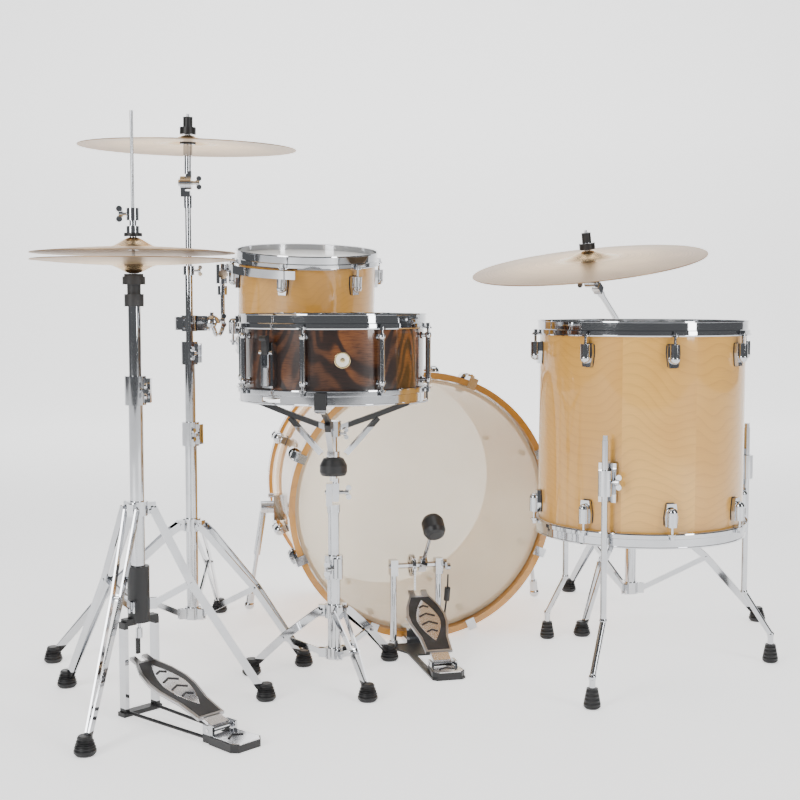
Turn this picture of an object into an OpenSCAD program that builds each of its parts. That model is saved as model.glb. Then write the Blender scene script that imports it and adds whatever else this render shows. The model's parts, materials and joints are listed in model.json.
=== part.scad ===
// Acoustic drum kit: bass drum with pedal, rack tom, snare, hi-hat, crash, ride and floor tom.
// Millimetres. +X to the seated player's right, +Y from the player to the audience, +Z up.

/* [Bass drum] */
// Bass drum shell outer radius
bass_r = 279.4; // [254:0.1:305]
// Bass drum shell depth
bass_depth = 457; // [355:1:510]
// Outer radius of the wooden bass hoops
bass_hoop_r = 296; // [270:0.5:320]
// Width of each wooden hoop along the drum
bass_hoop_w = 36; // [30:1:42]
// Angle the bass drum is turned away from straight ahead, degrees
bass_yaw = 11; // [0:1:20]

/* [Toms] */
// Floor tom shell radius
ft_r = 202.5; // [177:0.1:229]
// Floor tom height over both hoops
ft_h = 424; // [380:1:460]
// Radius of the circle the floor tom feet stand on
ft_foot_r = 290; // [240:1:320]
// Rack tom shell radius
tom_r = 152; // [127:0.1:178]
// Rack tom height over both hoops
tom_h = 229; // [190:1:260]
// Rack tom tilt toward the player, degrees
tom_tilt = 7.3; // [0:0.1:20]

/* [Snare] */
// Snare drum shell radius
sn_r = 177.5; // [160:0.1:184]
// Height of the top of the snare's upper rim
sn_top = 724; // [700:1:760]
// Snare drum height over both hoops
sn_h = 168; // [140:1:200]

/* [Cymbals] */
// Hi-hat cymbal radius
hat_r = 180; // [165:1:190]
// Crash cymbal radius
crash_r = 229; // [203:1:254]
// Ride cymbal radius
ride_r = 254; // [229:1:280]
// Cymbal sheet thickness
cym_t = 1.6; // [0.8:0.1:2.4]

/* [Stands] */
// Outer radius of the lower stand tubes
tube_a = 12.7; // [11:0.1:16]
// Outer radius of the tubes that slide inside them
tube_b = 10.95; // [9:0.05:12]
// Width of the flat leg straps
strap_w = 15; // [10:1:20]
// Thickness of the flat leg straps
strap_t = 3; // [2:0.5:5]

/* [Hidden] */
$fn = 48;
big = 96;
gap = 0.3;
run = 0.07;

// where each assembly stands
o = [3.5, -32.3, 0];
hh = o + [-536, -380, 0];
cr = o + [-513, 88, 0];
sn = o + [-193, -162, 0];
tp = o + [-268, 207, 861];
bd = o + [-12, 144, bass_hoop_r];
ft = o + [421, -100, 0];
rd = o + [484, 344, 0];
hh_legs = [17.5, 138, 258.6];
cr_legs = [87, 207, 327];
sn_legs = [49.5, 172.7, 294.8];
rd_legs = [-8, 112, 232];
ft_legs = [-116.5, 10, 122.5];
ft_leg_r = 229;
hh_dir = -42.5;
hh_hinge = [225, 22];
ped_yaw = 3;
ped_x = -28;
ped_y = -62;
axle_z = 178;
beater_lean = 43;

steel = [0.82, 0.83, 0.85];
black = [0.06, 0.06, 0.06];
maple = [0.86, 0.68, 0.45];
bronze = [0.80, 0.74, 0.62];

// ---- helpers ----
module aim(a, b) {
  d = b - a;
  translate(a) rotate([0, acos(d[2] / norm(d)), atan2(d[1], d[0])]) children();
}
module rod(a, b, r) { aim(a, b) cylinder(r = r, h = norm(b - a)); }
module path(p, r) {
  for (i = [0 : len(p) - 2]) rod(p[i], p[i + 1], r);
  for (i = [1 : 1 : len(p) - 2]) translate(p[i]) sphere(r = r * 1.25);
}
module tube(ro, ri, z0, z1) {
  translate([0, 0, z0]) difference() {
    cylinder(r = ro, h = z1 - z0);
    translate([0, 0, -1]) cylinder(r = ri, h = z1 - z0 + 2);
  }
}
module ring(ri, ro, z0, z1) {
  rotate_extrude($fn = big) translate([ri, z0]) square([ro - ri, z1 - z0]);
}
module slab(x, y, z) { translate([-x / 2, -y / 2, 0]) cube([x, y, z]); }
function nrm(a, b) = let(d = b - a) [-d[1], d[0]] / norm(d);
function off(p, i, s) = let(n = len(p),
  a = i > 0 ? nrm(p[i - 1], p[i]) : nrm(p[0], p[1]),
  b = i < n - 1 ? nrm(p[i], p[i + 1]) : nrm(p[n - 2], p[n - 1]),
  m = (a + b) / norm(a + b)) p[i] + m * s / (m * a);
function ribbon(p, w) = concat([for (i = [0 : len(p) - 1]) off(p, i, w / 2)],
  [for (i = [len(p) - 1 : -1 : 0]) off(p, i, -w / 2)]);
module plate(p, w, t) {
  rotate([90, 0, 0]) translate([0, 0, -t / 2]) linear_extrude(t) polygon(ribbon(p, w));
}
// wing screw pointing along +X from the origin
module wing(l = 16, s = 1) {
  rotate([0, 90, 0]) cylinder(r = 3 * s, h = l + 2);
  translate([l, 0, 0]) rotate([0, 90, 0]) cylinder(r = 5.5 * s, h = 7 * s);
  translate([l + 4 * s, 0, 0]) rotate([90, 0, 0]) translate([0, 0, -2 * s]) linear_extrude(4 * s)
    union() {
      translate([3 * s, 9 * s]) circle(r = 5.5 * s);
      translate([3 * s, -9 * s]) circle(r = 5.5 * s);
      translate([-1 * s, -9 * s]) square([5 * s, 18 * s]);
    }
}
// split collar that clamps a tube
module collar(ri, ro, z0, z1, a) {
  difference() {
    union() {
      translate([0, 0, z0]) cylinder(r = ro, h = z1 - z0);
      rotate([0, 0, a]) translate([ro - 3, -7, z0 + 4]) cube([12, 14, z1 - z0 - 8]);
    }
    translate([0, 0, z0 - 1]) cylinder(r = ri, h = z1 - z0 + 2);
    rotate([0, 0, a]) translate([0, -0.8, z0 - 1]) cube([ro + 20, 1.6, z1 - z0 + 2]);
  }
  rotate([0, 0, a - 90]) translate([7, ro + 4, (z0 + z1) / 2]) wing(7);
}
// three-way bracket with paired ears for the legs
module ears(ri, ro, z0, z1, angs, ear, px = 0, pz = 0, slot = 0) {
  difference() {
    union() {
      translate([0, 0, z0]) cylinder(r = ro, h = z1 - z0);
      for (a = angs) rotate([0, 0, a]) translate([ro - 2, -6, z0 + 2]) cube([ear, 12, z1 - z0 - 4]);
    }
    translate([0, 0, z0 - 1]) cylinder(r = ri, h = z1 - z0 + 2);
    if (px > 0) for (a = angs) rotate([0, 0, a]) translate([px, -20, pz]) rotate([-90, 0, 0])
      cylinder(r = 3.1, h = 40);
    if (slot > 0) for (a = angs) rotate([0, 0, a]) translate([slot, -2.6, z0 - 1])
      cube([40, 5.2, z1 - z0 + 2]);
  }
}
// one double-strap leg with its foot on radius fr, top pivot at radius tr and height tz
module leg(a, fr, tr, tz, mid, bz, br, rub = true) {
  l = fr - tr;
  sp = atan(9.5 / l);
  p = [[0, tz], [mid[0] * 0.16, tz - mid[1] * 0.1], [mid[0], mid[1]], [l - 24, 30], [l - 8, 16]];
  rotate([0, 0, a]) translate([fr, 0, 0]) {
    for (s = [-1, 1]) rotate([0, 0, -s * sp]) translate([-l, s * 1.75, 0]) plate(p, strap_w, strap_t);
    foot(rub);
  }
  // brace from the straps to the lower bracket
  q = [[br + 2, bz], [tr + mid[0], mid[1]]];
  rotate([0, 0, a]) plate(q, strap_w * 0.8, strap_t + 1.5);
  rotate([0, 0, a]) translate([tr, -14, tz]) rotate([-90, 0, 0]) cylinder(r = 3, h = 28);
  rotate([0, 0, a]) translate([tr + mid[0], -11, mid[1]]) rotate([-90, 0, 0])
    cylinder(r = 3, h = 22);
}
module foot(rub) {
  translate([-10, 0, 0]) rotate([0, 0, 0]) rotate_extrude()
    polygon([[0, 0], [15, 0], [19, 5], [19, 9], [17.5, 10], [18, 14], [16, 15], [16.5, 19],
      [14.5, 20], [15, 24], [13, 25], [13, 30], [11, 33], [0, 33]]);
}
module tripod(angs, frs, tr, tz, mid, bz, br) {
  for (i = [0 : 2]) leg(angs[i], frs[i], tr, tz, mid * (frs[i] / frs[0]), bz, br);
}
// triple-flange metal hoop, edge of the shell at z = 0 and the rim above it
module steel_hoop(r, n, a0) {
  rotate_extrude($fn = big) polygon(ribbon([[r + 6.2, 12.4], [r + 3.2, 11.6], [r + 3.2, -4],
    [r + 6.6, -5.5], [r + 6.6, -13], [r + 9.9, -13.8]], 2.2));
  for (k = [0 : n - 1]) rotate([0, 0, a0 + k * 360 / n]) difference() {
    union() {
      translate([r + 13, 0, -15.1]) cylinder(r = 7, h = 3);
      translate([r + 8.2, -7, -15.1]) cube([5, 14, 3]);
    }
    translate([r + 13, 0, -20]) cylinder(r = 2.9, h = 10);
  }
}
module film_head(r) {
  translate([0, 0, 0.1]) cylinder(r = r + 1.2, h = 0.5, $fn = big);
  ring(r + 0.5, r + 1.2, -13.5, 0.4);
  ring(r + 0.5, r + 4.4, -13.5, -6.6);
}
module shell(r, t, z0, z1) {
  rotate_extrude($fn = big) polygon([[r - t, z0 + 2], [r - t * 0.5, z0], [r - 1, z0], [r, z0 + 1],
    [r, z1 - 1], [r - 1, z1], [r - t * 0.5, z1], [r - t, z1 - 2]]);
}
// square-headed tension rod, head above z = 0
module t_rod(l, r = 2.6) {
  translate([0, 0, -l]) cylinder(r = r, h = l + 1);
  cylinder(r = 5.2, h = 1.6);
  translate([0, 0, 1.2]) slab(6.2, 6.2, 6);
}
// shield-shaped lug, pointed end up, back face on x = 0
module shield(w, h, d) {
  difference() {
    union() {
      rotate([90, 0, 90]) linear_extrude(d * 0.45) polygon([[-w * 0.36, h], [w * 0.36, h],
        [w * 0.5, h * 0.42], [w * 0.46, 0], [-w * 0.46, 0], [-w * 0.5, h * 0.42]]);
      translate([d * 0.62, 0, 0]) cylinder(r = d * 0.4, h = h * 0.62);
      translate([d * 0.62, 0, h * 0.62]) sphere(r = d * 0.4 * 1.03);
      translate([0, -d * 0.3, 0]) cube([d * 0.62, d * 0.6, h * 0.75]);
    }
    translate([d * 0.62, 0, -1]) cylinder(r = 2.9, h = h * 0.5);
  }
}
module lug_set(r, n, a0, ztop, zbot, w, h, d) {
  for (k = [0 : n - 1]) rotate([0, 0, a0 + k * 360 / n]) {
    translate([r + 13 - d * 0.62, 0, ztop]) mirror([0, 0, 0]) shield_up(w, h, d, ztop);
    children();
  }
}
module shield_up(w, h, d, z) { shield(w, h, d); }
// cymbal section: r, height of the bell top over the edge, bell height and bell radius
function cyz(r, rr, h, hb, rb) = (h - hb) * (1 - pow(r / rr, 1.8))
  + (r < rb ? hb * (cos(180 * r / rb) + 1) / 2 : 0);
module cymbal(rr, h, hb, rb, hole) {
  rotate_extrude($fn = big) polygon(ribbon(concat(
    [for (i = [0 : 8]) let(r = hole + (rb - hole) * i / 8) [r, cyz(r, rr, h, hb, rb)]],
    [for (i = [1 : 8]) let(r = rb + (rr - rb) * i / 8) [r, cyz(r, rr, h, hb, rb)]]), cym_t));
}

// ---- bass drum ----
module in_bass() { translate(bd) rotate([0, 0, bass_yaw]) rotate([-90, 0, 0]) children(); }
bs0 = 21.5;
bs1 = bs0 + bass_depth;
bl = bs1 + bs0;
module bass_shell() { color(maple) in_bass() shell(bass_r, 8, bs0, bs1); }
module bass_hoops() {
  color([0.72, 0.45, 0.2]) in_bass() {
    ring(bass_r + 3, bass_hoop_r, 0, bass_hoop_w);
    ring(bass_r + 3, bass_hoop_r, bl - bass_hoop_w, bl);
  }
}
module bass_head() {
  translate([0, 0, bs0 - 0.7]) cylinder(r = bass_r + 1.2, h = 0.5, $fn = big);
  ring(bass_r + 0.5, bass_r + 1.2, bs0 - 0.5, bass_hoop_w + 8);
  ring(bass_r + 0.5, bass_r + 8, bass_hoop_w + 0.5, bass_hoop_w + 8);
}
module bass_heads() {
  color([0.9, 0.86, 0.76]) in_bass() {
    bass_head();
    translate([0, 0, bl]) mirror([0, 0, 1]) bass_head();
  }
}
module both_ends() {
  for (m = [0, 1], k = [0 : 7]) translate([0, 0, m * bl]) mirror([0, 0, m])
    rotate([0, 0, 22.5 + 45 * k]) children();
}
module bass_lugs() {
  color(steel) in_bass() difference() {
    both_ends() translate([bass_r - 2, 0, 66]) shield(25, 43, 34);
    translate([0, 0, -5]) cylinder(r = bass_r + 0.2, h = bl + 10, $fn = big);
    both_ends() translate([bass_r + 19.1, 0, 60]) cylinder(r = 3.4, h = 24);
  }
}
module bass_claws() {
  rc = bass_hoop_r;
  color(steel) in_bass() both_ends() {
    difference() {
      translate([rc - 17, -10, -3]) cube([26, 20, 43]);
      translate([0, 0, 0 - 0.3]) cylinder(r = rc + 0.3, h = 60, $fn = big);
      translate([rc + 6.5, -12, -4]) rotate([0, 35, 0]) cube([20, 24, 12]);
    }
    translate([bass_r + 19.1, 0, 38]) cylinder(r = 3, h = 44);
    translate([rc + 2, -8, 32]) cube([12, 16, 7]);
    translate([rc + 12, 0, 30]) rotate([0, 0, 0]) cylinder(r = 4, h = 8);
  }
}
// spurs: lateral position, distance along the drum, pivot height under the axis
sp_s = 300;
sp_z = -39;
module spur_frame(m) {
  translate([bd[0], bd[1], 0]) rotate([0, 0, bass_yaw]) mirror([m, 0, 0])
    translate([-(bass_r + 36), sp_s, bass_hoop_r + sp_z]) children();
}
module spur_bracket() {
  difference() {
    union() {
      translate([14, -17, -30]) cube([26, 34, 60]);
      translate([0, 0, 0]) rotate([0, 90, 0]) cylinder(r = 15, h = 17);
      translate([-9, 0, 0]) rotate([0, 90, 0]) cylinder(r = 5, h = 12);
      translate([2, 0, 28]) rotate([0, 90, 0]) cylinder(r = 5, h = 13);
    }
    translate([bass_r + 36, -40, -sp_z]) rotate([-90, 0, 0]) cylinder(r = bass_r + 0.3, h = 80, $fn = big);
  }
}
module bass_spur_brackets() {
  color(steel) for (m = [0, 1]) spur_frame(m) spur_bracket();
}
module spur(m) {
  foot_p = [-36, 32, -(bass_hoop_r + sp_z)];
  d = foot_p / norm(foot_p);
  color(steel) spur_frame(m) {
    difference() {
      translate([-16, 0, 0]) rotate([0, 90, 0]) cylinder(r = 15, h = 15.7);
      translate([-10, 0, 0]) rotate([0, 90, 0]) cylinder(r = 5.3, h = 12);
    }
    translate([-8.5, 0, 0]) {
      rod(d * 12, d * 118, 8);
      rod(d * 110, d * 236, 5);
    }
  }
  color(black) spur_frame(m) translate([-8.5, 0, 0]) {
    difference() {
      union() {
        rod(d * 214, d * 252, 9.5);
        translate(d * 246) sphere(r = 12);
      }
      translate([-60, -30, -400 + foot_p[2]]) cube([120, 160, 400]);
    }
  }
}
module bass_spur_left() { spur(0); }
module bass_spur_right() { spur(1); }

// ---- bass pedal: local +Y toward the drum, origin under the posts ----
module in_pedal() {
  translate([bd[0], bd[1], 0]) rotate([0, 0, bass_yaw]) translate([ped_x, ped_y, 0])
    rotate([0, 0, ped_yaw]) children();
}
toe = [0, -6, 117];
heel_y = -268;
pin = [0, -208, 19];
module pedal_frame() {
  color(steel) in_pedal() {
    difference() {
      linear_extrude(4) polygon([[-56, 14], [56, 14], [56, -14], [34, -60], [34, heel_y + 8],
        [26, heel_y], [-26, heel_y], [-34, heel_y + 8], [-34, -60], [-56, -14]]);
      translate([-20, -190, -1]) cube([40, 110, 6]);
    }
    for (s = [-1, 1]) {
      translate([s * 50, 0, 3]) cylinder(r = 10, h = 12);
      translate([s * 50, 0, 3]) cylinder(r = 7, h = 158);
      difference() {
        translate([s * 50, 0, 158]) slab(16, 22, 34);
        translate([s * 50 - 20, 0, axle_z]) rotate([0, 90, 0]) cylinder(r = 5 + run, h = 40);
      }
    }
    // hoop clamp
    translate([-18, 10, 3.5]) cube([36, 47, 9]);
    translate([-15, 20, 12]) cube([30, 22, 22]);
    translate([-15, 40, 22]) cube([30, 38, 8]);
    translate([0, 31, 33]) cylinder(r = 4, h = 14);
    translate([0, 31, 46]) rotate([0, -90, 0]) translate([-4, 0, 0]) wing(4);
    // heel plate and its side ears
    translate([0, 0, 3.5]) linear_extrude(12) polygon([[-30, -226], [30, -226], [33, heel_y + 12],
      [24, heel_y], [-24, heel_y], [-33, heel_y + 12]]);
    for (s = [-1, 1]) difference() {
      translate([s * 24.5 - 2.5, -228, 3.5]) cube([5, 28, 23]);
      translate([s * 24.5 - 6, pin[1], pin[2]]) rotate([0, 90, 0]) cylinder(r = 3 + run, h = 12);
    }
    // block that holds the spring
    translate([57, -9, 3.5]) cube([14, 18, 5]);
    translate([54, -7, 3.9]) cube([6, 14, 4]);
    translate([64, 0, 8]) cylinder(r = 8, h = 30);
    translate([64, 0, 37]) cylinder(r = 2, h = 24);
  }
}
fb_ang = atan2(toe[2] - pin[2], toe[1] - pin[1]);
fb_len = norm([toe[1] - pin[1], toe[2] - pin[2]]);
module board(l, w0, w1, w2, notch) {
  difference() {
    translate([0, 0, 4]) linear_extrude(6) polygon([[-w0, 0], [-w0 * 0.98, l * 0.12],
      [-w0 * 1.05, l * 0.3], [-w1, l * 0.5], [-w1 * 1.02, l * 0.62], [-w1 * 0.86, l * 0.76],
      [-w2, l * 0.92], [-w2 * 0.92, l], [-6, l], [-6, l - notch], [6, l - notch], [6, l],
      [w2 * 0.92, l], [w2, l * 0.92], [w1 * 0.86, l * 0.76], [w1 * 1.02, l * 0.62],
      [w1, l * 0.5], [w0 * 1.05, l * 0.3], [w0 * 0.98, l * 0.12], [w0, 0]]);
  }
}
module pedal_footboard() {
  color(steel) in_pedal() translate(pin) rotate([fb_ang, 0, 0]) {
    difference() {
      translate([0, 4, 0]) board(fb_len - 4, 29, 42, 21, 18);
      for (s = [-1, 1]) translate([s * 26 - 6, -10, -20]) cube([12, 34, 40]);
    }
    difference() {
      union() {
        translate([-19, 0, 0]) rotate([0, 90, 0]) cylinder(r = 6, h = 38);
        translate([-19, 0, 0]) cube([38, 12, 8]);
      }
    }
    translate([-28, 0, 0]) rotate([0, 90, 0]) cylinder(r = 3, h = 56);
  }
}
module pedal_axle() {
  color(steel) in_pedal() translate([0, 0, axle_z]) {
    translate([-41.5, 0, 0]) rotate([0, 90, 0]) cylinder(r = 6, h = 83, $fn = 6);
    translate([-60, 0, 0]) rotate([0, 90, 0]) cylinder(r = 5, h = 132);
    translate([-13, 0, 0]) rotate([0, 90, 0]) difference() {
      cylinder(r = 24, h = 8);
      translate([0, 0, -1]) linear_extrude(10) for (k = [0 : 4]) rotate(k * 72 + 20)
        translate([14.5, 0]) circle(r = 4.2, $fn = 24);
      translate([0, 0, 2]) difference() {
        cylinder(r = 26, h = 4);
        translate([0, 0, -1]) cylinder(r = 20, h = 6);
      }
    }
    translate([60.5, 0, 0]) rotate([90, 0, 90]) linear_extrude(7) union() {
      circle(r = 11);
      translate([-30, -7]) square([30, 14]);
      translate([-30, 0]) circle(r = 7);
    }
  }
}
module pedal_beater() {
  u = [0, -sin(beater_lean), cos(beater_lean)];
  color(black) in_pedal() translate([14, 0, axle_z]) {
    difference() {
      union() {
        rotate([beater_lean, 0, 0]) translate([-8, -9, -13]) cube([16, 18, 32]);
        rod(u * 15, u * 120, 4);
        rotate([beater_lean, 0, 0]) translate([0, 0, 18]) cylinder(r = 6.5, h = 6);
        rotate([beater_lean, 0, 0]) translate([0, 0, 134]) rotate([90, 0, 0]) rotate_extrude()
          polygon([[0, -24.5], [13, -24.5], [19, -21], [23.5, -12], [23.5, 12], [19, 21],
            [13, 24.5], [0, 24.5]]);
      }
      translate([-20, 0, 0]) rotate([0, 90, 0]) cylinder(r = 6.1, h = 40);
    }
  }
}
module pedal_spring() {
  color(black) in_pedal() translate([64, -30, 0]) {
    translate([0, 30, 62]) rod([0, 0, 0], [0, -18, 42], 2);
    rod([0, 12, 102], [0, 4.2, 130], 6.5);
    rod([0, 5, 128], [0, 0.6, 160], 1.8);
  }
}
module pedal_chain() {
  n = 8;
  z1 = axle_z - 2;
  color(steel) in_pedal() for (i = [0 : n - 1]) translate([-9, -24.9, 128.5 + i * (z1 - 128.5) / n])
    translate([-2, -2, 0]) cube([4, 1.6, (z1 - 128.5) / n - 0.4]);
}

// ---- rack tom: origin at the centre of its upper rim ----
module in_tom() { translate(tp) rotate([tom_tilt, 1.6, 0]) children(); }
tze = -13.5;
tzb = -tom_h + 13.5;
tom_rod = tp + [-187, -17, 0];
module tom_shell() { color(maple) in_tom() shell(tom_r, 6, tzb, tze); }
module tom_hoops() {
  color(steel) in_tom() {
    translate([0, 0, tze]) steel_hoop(tom_r, 6, 15);
    translate([0, 0, tzb]) mirror([0, 0, 1]) steel_hoop(tom_r, 6, 15);
  }
}
module tom_heads() {
  color([0.93, 0.93, 0.9]) in_tom() {
    translate([0, 0, tze]) film_head(tom_r);
    translate([0, 0, tzb]) mirror([0, 0, 1]) film_head(tom_r);
  }
}
module shields(r, n, a0, z0, z1, w, h, d, lug_z) {
  difference() {
    for (k = [0 : n - 1]) rotate([0, 0, a0 + k * 360 / n]) {
      translate([r + 13 - d * 0.62, 0, z1 - lug_z]) mirror([0, 0, 1]) shield(w, h, d);
      translate([r + 13 - d * 0.62, 0, z0 + lug_z]) shield(w, h, d);
      translate([r + 13, 0, z1 - 11.6]) t_rod(lug_z);
      translate([r + 13, 0, z0 + 11.6]) mirror([0, 0, 1]) t_rod(lug_z);
    }
    translate([0, 0, z0]) cylinder(r = r + 0.2, h = z1 - z0, $fn = big);
  }
}
module tom_lugs() {
  color(steel) in_tom() shields(tom_r, 6, 15, tzb, tze, 23, 40, 24, 30);
}
module tom_bracket() {
  color(steel) {
    difference() {
      in_tom() translate([0, 0, tze - 34]) rotate([0, 0, 166]) rotate_extrude(angle = 100, $fn = big)
        translate([tom_r + 24, 0]) square([3, 18]);
      translate(tom_rod + [0, 0, -120]) cylinder(r = 5.2, h = 120);
    }
    in_tom() {
      // tabs under the rim that hang the drum by its tension rods
      for (k = [3, 4]) rotate([0, 0, 15 + k * 60]) difference() {
        translate([tom_r + 8, -8, tze - 22]) cube([17, 16, 2.5]);
        translate([tom_r + 13, 0, tze - 30]) cylinder(r = 2.9, h = 20);
      }
    }
    difference() {
      union() {
        translate(tom_rod + [0, 0, -75]) cylinder(r = 14, h = 42);
        translate(tom_rod + [0, 0, -100]) cylinder(r = 11, h = 20);
        translate(tom_rod + [2, -8, -70]) cube([10, 16, 34]);
        translate(tom_rod + [6, -20, -55]) rotate([90, 0, 0]) cylinder(r = 10, h = 14);
        translate(tom_rod + [0, -10, -60]) cube([15, 12, 12]);
      }
      translate(tom_rod + [0, 0, -120]) cylinder(r = 4.8 + run, h = 100);
      in_tom() translate([0, 0, -200]) cylinder(r = tom_r + 25, h = 250, $fn = big);
    }
  }
}
clamp_z = 700;
ball = [cr[0] + 46, cr[1] + 14, clamp_z];
module tom_arm() {
  a = tom_rod + [0, 0, 670 - tp[2]];
  color(steel) {
    bends = [ball, ball + [6, 10, -22], [a[0] - 8, a[1] - 18, 672], a + [0, 0, 16],
      tom_rod + [0, 0, -30]];
    aim(bends[0], bends[1]) sphere(r = 11);
    for (i = [0 : 3]) rod(bends[i], bends[i + 1], 4.8);
    for (i = [1 : 3]) translate(bends[i]) sphere(r = 7);
  }
}
module tom_clamp() {
  color(steel) translate([cr[0], cr[1], clamp_z]) rotate([0, 0, 17]) {
    difference() {
      union() {
        translate([0, 0, -17]) cylinder(r = 17, h = 34);
        translate([-30, -9, -14]) cube([28, 18, 28]);
        translate([14, -13, -16]) cube([22, 26, 32]);
        translate([48.1, 0, 0]) sphere(r = 18);
        translate([48.1, 0, 14]) cylinder(r = 4, h = 9);
      }
      translate([0, 0, -20]) cylinder(r = 8.1, h = 40);
      translate([-40, -0.8, -20]) cube([34, 1.6, 40]);
      translate([48.1, 0, 0]) sphere(r = 11.3);
      translate([43, -30, -40]) cube([24, 60, 40]);
    }
    for (z = [-9, 9]) translate([-25, -14, z]) rotate([-90, 0, 0]) cylinder(r = 3.4, h = 28);
    translate([61, 0, 6]) wing(6);
  }
}

// ---- snare ----
module in_snare() { translate(sn + [0, 0, sn_top]) children(); }
sze = -13.5;
szb = -sn_h + 13.5;
sn_a0 = -104;
module snare_shell() {
  color([0.25, 0.12, 0.06]) in_snare() shell(sn_r, 7, szb, sze);
}
module snare_hoops() {
  color(steel) in_snare() {
    translate([0, 0, sze]) steel_hoop(sn_r, 8, sn_a0);
    difference() {
      translate([0, 0, szb]) mirror([0, 0, 1]) steel_hoop(sn_r, 8, sn_a0);
      // gates for the snare strap
      for (a = [sn_a0 - 22.5, sn_a0 + 157.5]) rotate([0, 0, a])
        translate([sn_r - 6, -22, szb - 9]) cube([30, 44, 9.5]);
    }
  }
}
module snare_heads() {
  color([0.93, 0.92, 0.88]) in_snare() {
    translate([0, 0, sze]) film_head(sn_r);
    translate([0, 0, szb]) mirror([0, 0, 1]) film_head(sn_r);
  }
}
module snare_lugs() {
  z0 = szb + 22;
  z1 = sze - 22;
  color(steel) in_snare() difference() {
    for (k = [0 : 7]) rotate([0, 0, sn_a0 + 45 * k]) {
      translate([sn_r + 13, 0, z0]) cylinder(r = 5.2, h = z1 - z0);
      for (z = [z0 + 6, z1 - 6]) {
        translate([sn_r - 1, 0, z]) rotate([0, 90, 0]) cylinder(r = 4, h = 14);
        translate([sn_r - 1, 0, z]) rotate([0, 90, 0]) cylinder(r = 6.5, h = 3.5);
        translate([sn_r + 13, 0, z]) sphere(r = 6.8);
      }
      translate([sn_r + 13, 0, sze - 11.6]) t_rod(14);
      translate([sn_r + 13, 0, szb + 11.6]) mirror([0, 0, 1]) t_rod(14);
    }
    translate([0, 0, szb]) cylinder(r = sn_r + 0.2, h = sze - szb, $fn = big);
  }
}
st_a = sn_a0 - 22.5;
module snare_strainer() {
  color(steel) in_snare() difference() {
    union() {
      rotate([0, 0, st_a]) {
        translate([sn_r - 2, -13, szb + 18]) cube([14, 26, 84]);
        translate([sn_r + 10, -10, szb + 22]) cube([10, 20, 60]);
        translate([sn_r + 15, -16, szb + 84]) rotate([-90, 0, 0]) cylinder(r = 4, h = 32);
      }
      // butt plate on the far side
      rotate([0, 0, st_a + 180]) {
        translate([sn_r - 2, -14, szb + 20]) cube([12, 28, 34]);
        translate([sn_r + 9, -18, szb + 26]) cube([7, 36, 14]);
      }
    }
    translate([0, 0, szb]) cylinder(r = sn_r + 0.2, h = sze - szb, $fn = big);
    rotate([0, 0, st_a]) translate([sn_r + 8.5, -7, szb + 60]) cube([24, 14, 60]);
    rotate([0, 0, st_a]) translate([sn_r + 15, -20, szb + 84]) rotate([-90, 0, 0])
      cylinder(r = 2.5 + run, h = 40);
  }
}
module snare_lever() {
  color(black) in_snare() rotate([0, 0, st_a]) translate([sn_r + 15, 0, szb + 84]) {
    translate([-1, -6.5, -4.5]) cube([8, 13, 34.5]);
    translate([7, 0, 26]) rotate([90, 0, 0]) translate([0, 0, -8]) cylinder(r = 5, h = 16);
    translate([0, -15.5, 0]) rotate([-90, 0, 0]) cylinder(r = 2.5, h = 31);
  }
}
module snare_wires() {
  color(steel) in_snare() rotate([0, 0, st_a]) translate([0, 0, szb - 1.9]) {
    for (i = [-9 : 9]) translate([-146, i * 2, 0]) rotate([0, 90, 0]) cylinder(r = 0.7, h = 292, $fn = 16);
    for (s = [-1, 1]) translate([s * 148 - 7, -20, -0.9]) cube([14, 40, 1.8]);
    for (s = [-1, 1]) translate([s * 170 - 17, -12, -0.6]) cube([34, 24, 0.6]);
  }
}

// ---- snare stand ----
module in_sn() { translate(sn) children(); }
module snare_stand_legs() {
  color(steel) in_sn() tripod(sn_legs, [178, 178, 178], 25, 136, [78, 78], 52, 26);
}
module snare_stand_base() {
  color(steel) in_sn() {
    tube(tube_a, tube_b + run, 42, 200.5);
    collar(tube_b + run, 18, 200, 247, -70);
    ears(tube_a - 0.01, 18.5, 122, 149, sn_legs, 14, 25, 136);
    ears(tube_a - 0.01, 17, 40, 62, sn_legs, 16, 0, 0, 20);
  }
}
sn_piv = 372;
module snare_stand_upper() {
  color(steel) in_sn() {
    translate([0, 0, 120]) cylinder(r = tube_b, h = 221);
    translate([0, 0, 332]) cylinder(r = 13, h = 16);
    difference() {
      translate([-14, -12, 346]) cube([12, 24, 44]);
      translate([-20, 0, sn_piv]) rotate([0, 90, 0]) cylinder(r = 4 + run, h = 30);
    }
  }
}
module basket_arm(a, rt) {
  rotate([0, 0, a]) {
    plate([[16, 500], [96, 524], [rt - 22, 545]], 10, 8);
    plate([[rt - 26, 544], [rt + 12, 549]], 7, 20);
    translate([rt + 9.5, -11, 547]) cube([6, 22, 34]);
    plate([[26, 447], [94, 516]], 9, 11);
  }
}
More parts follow.
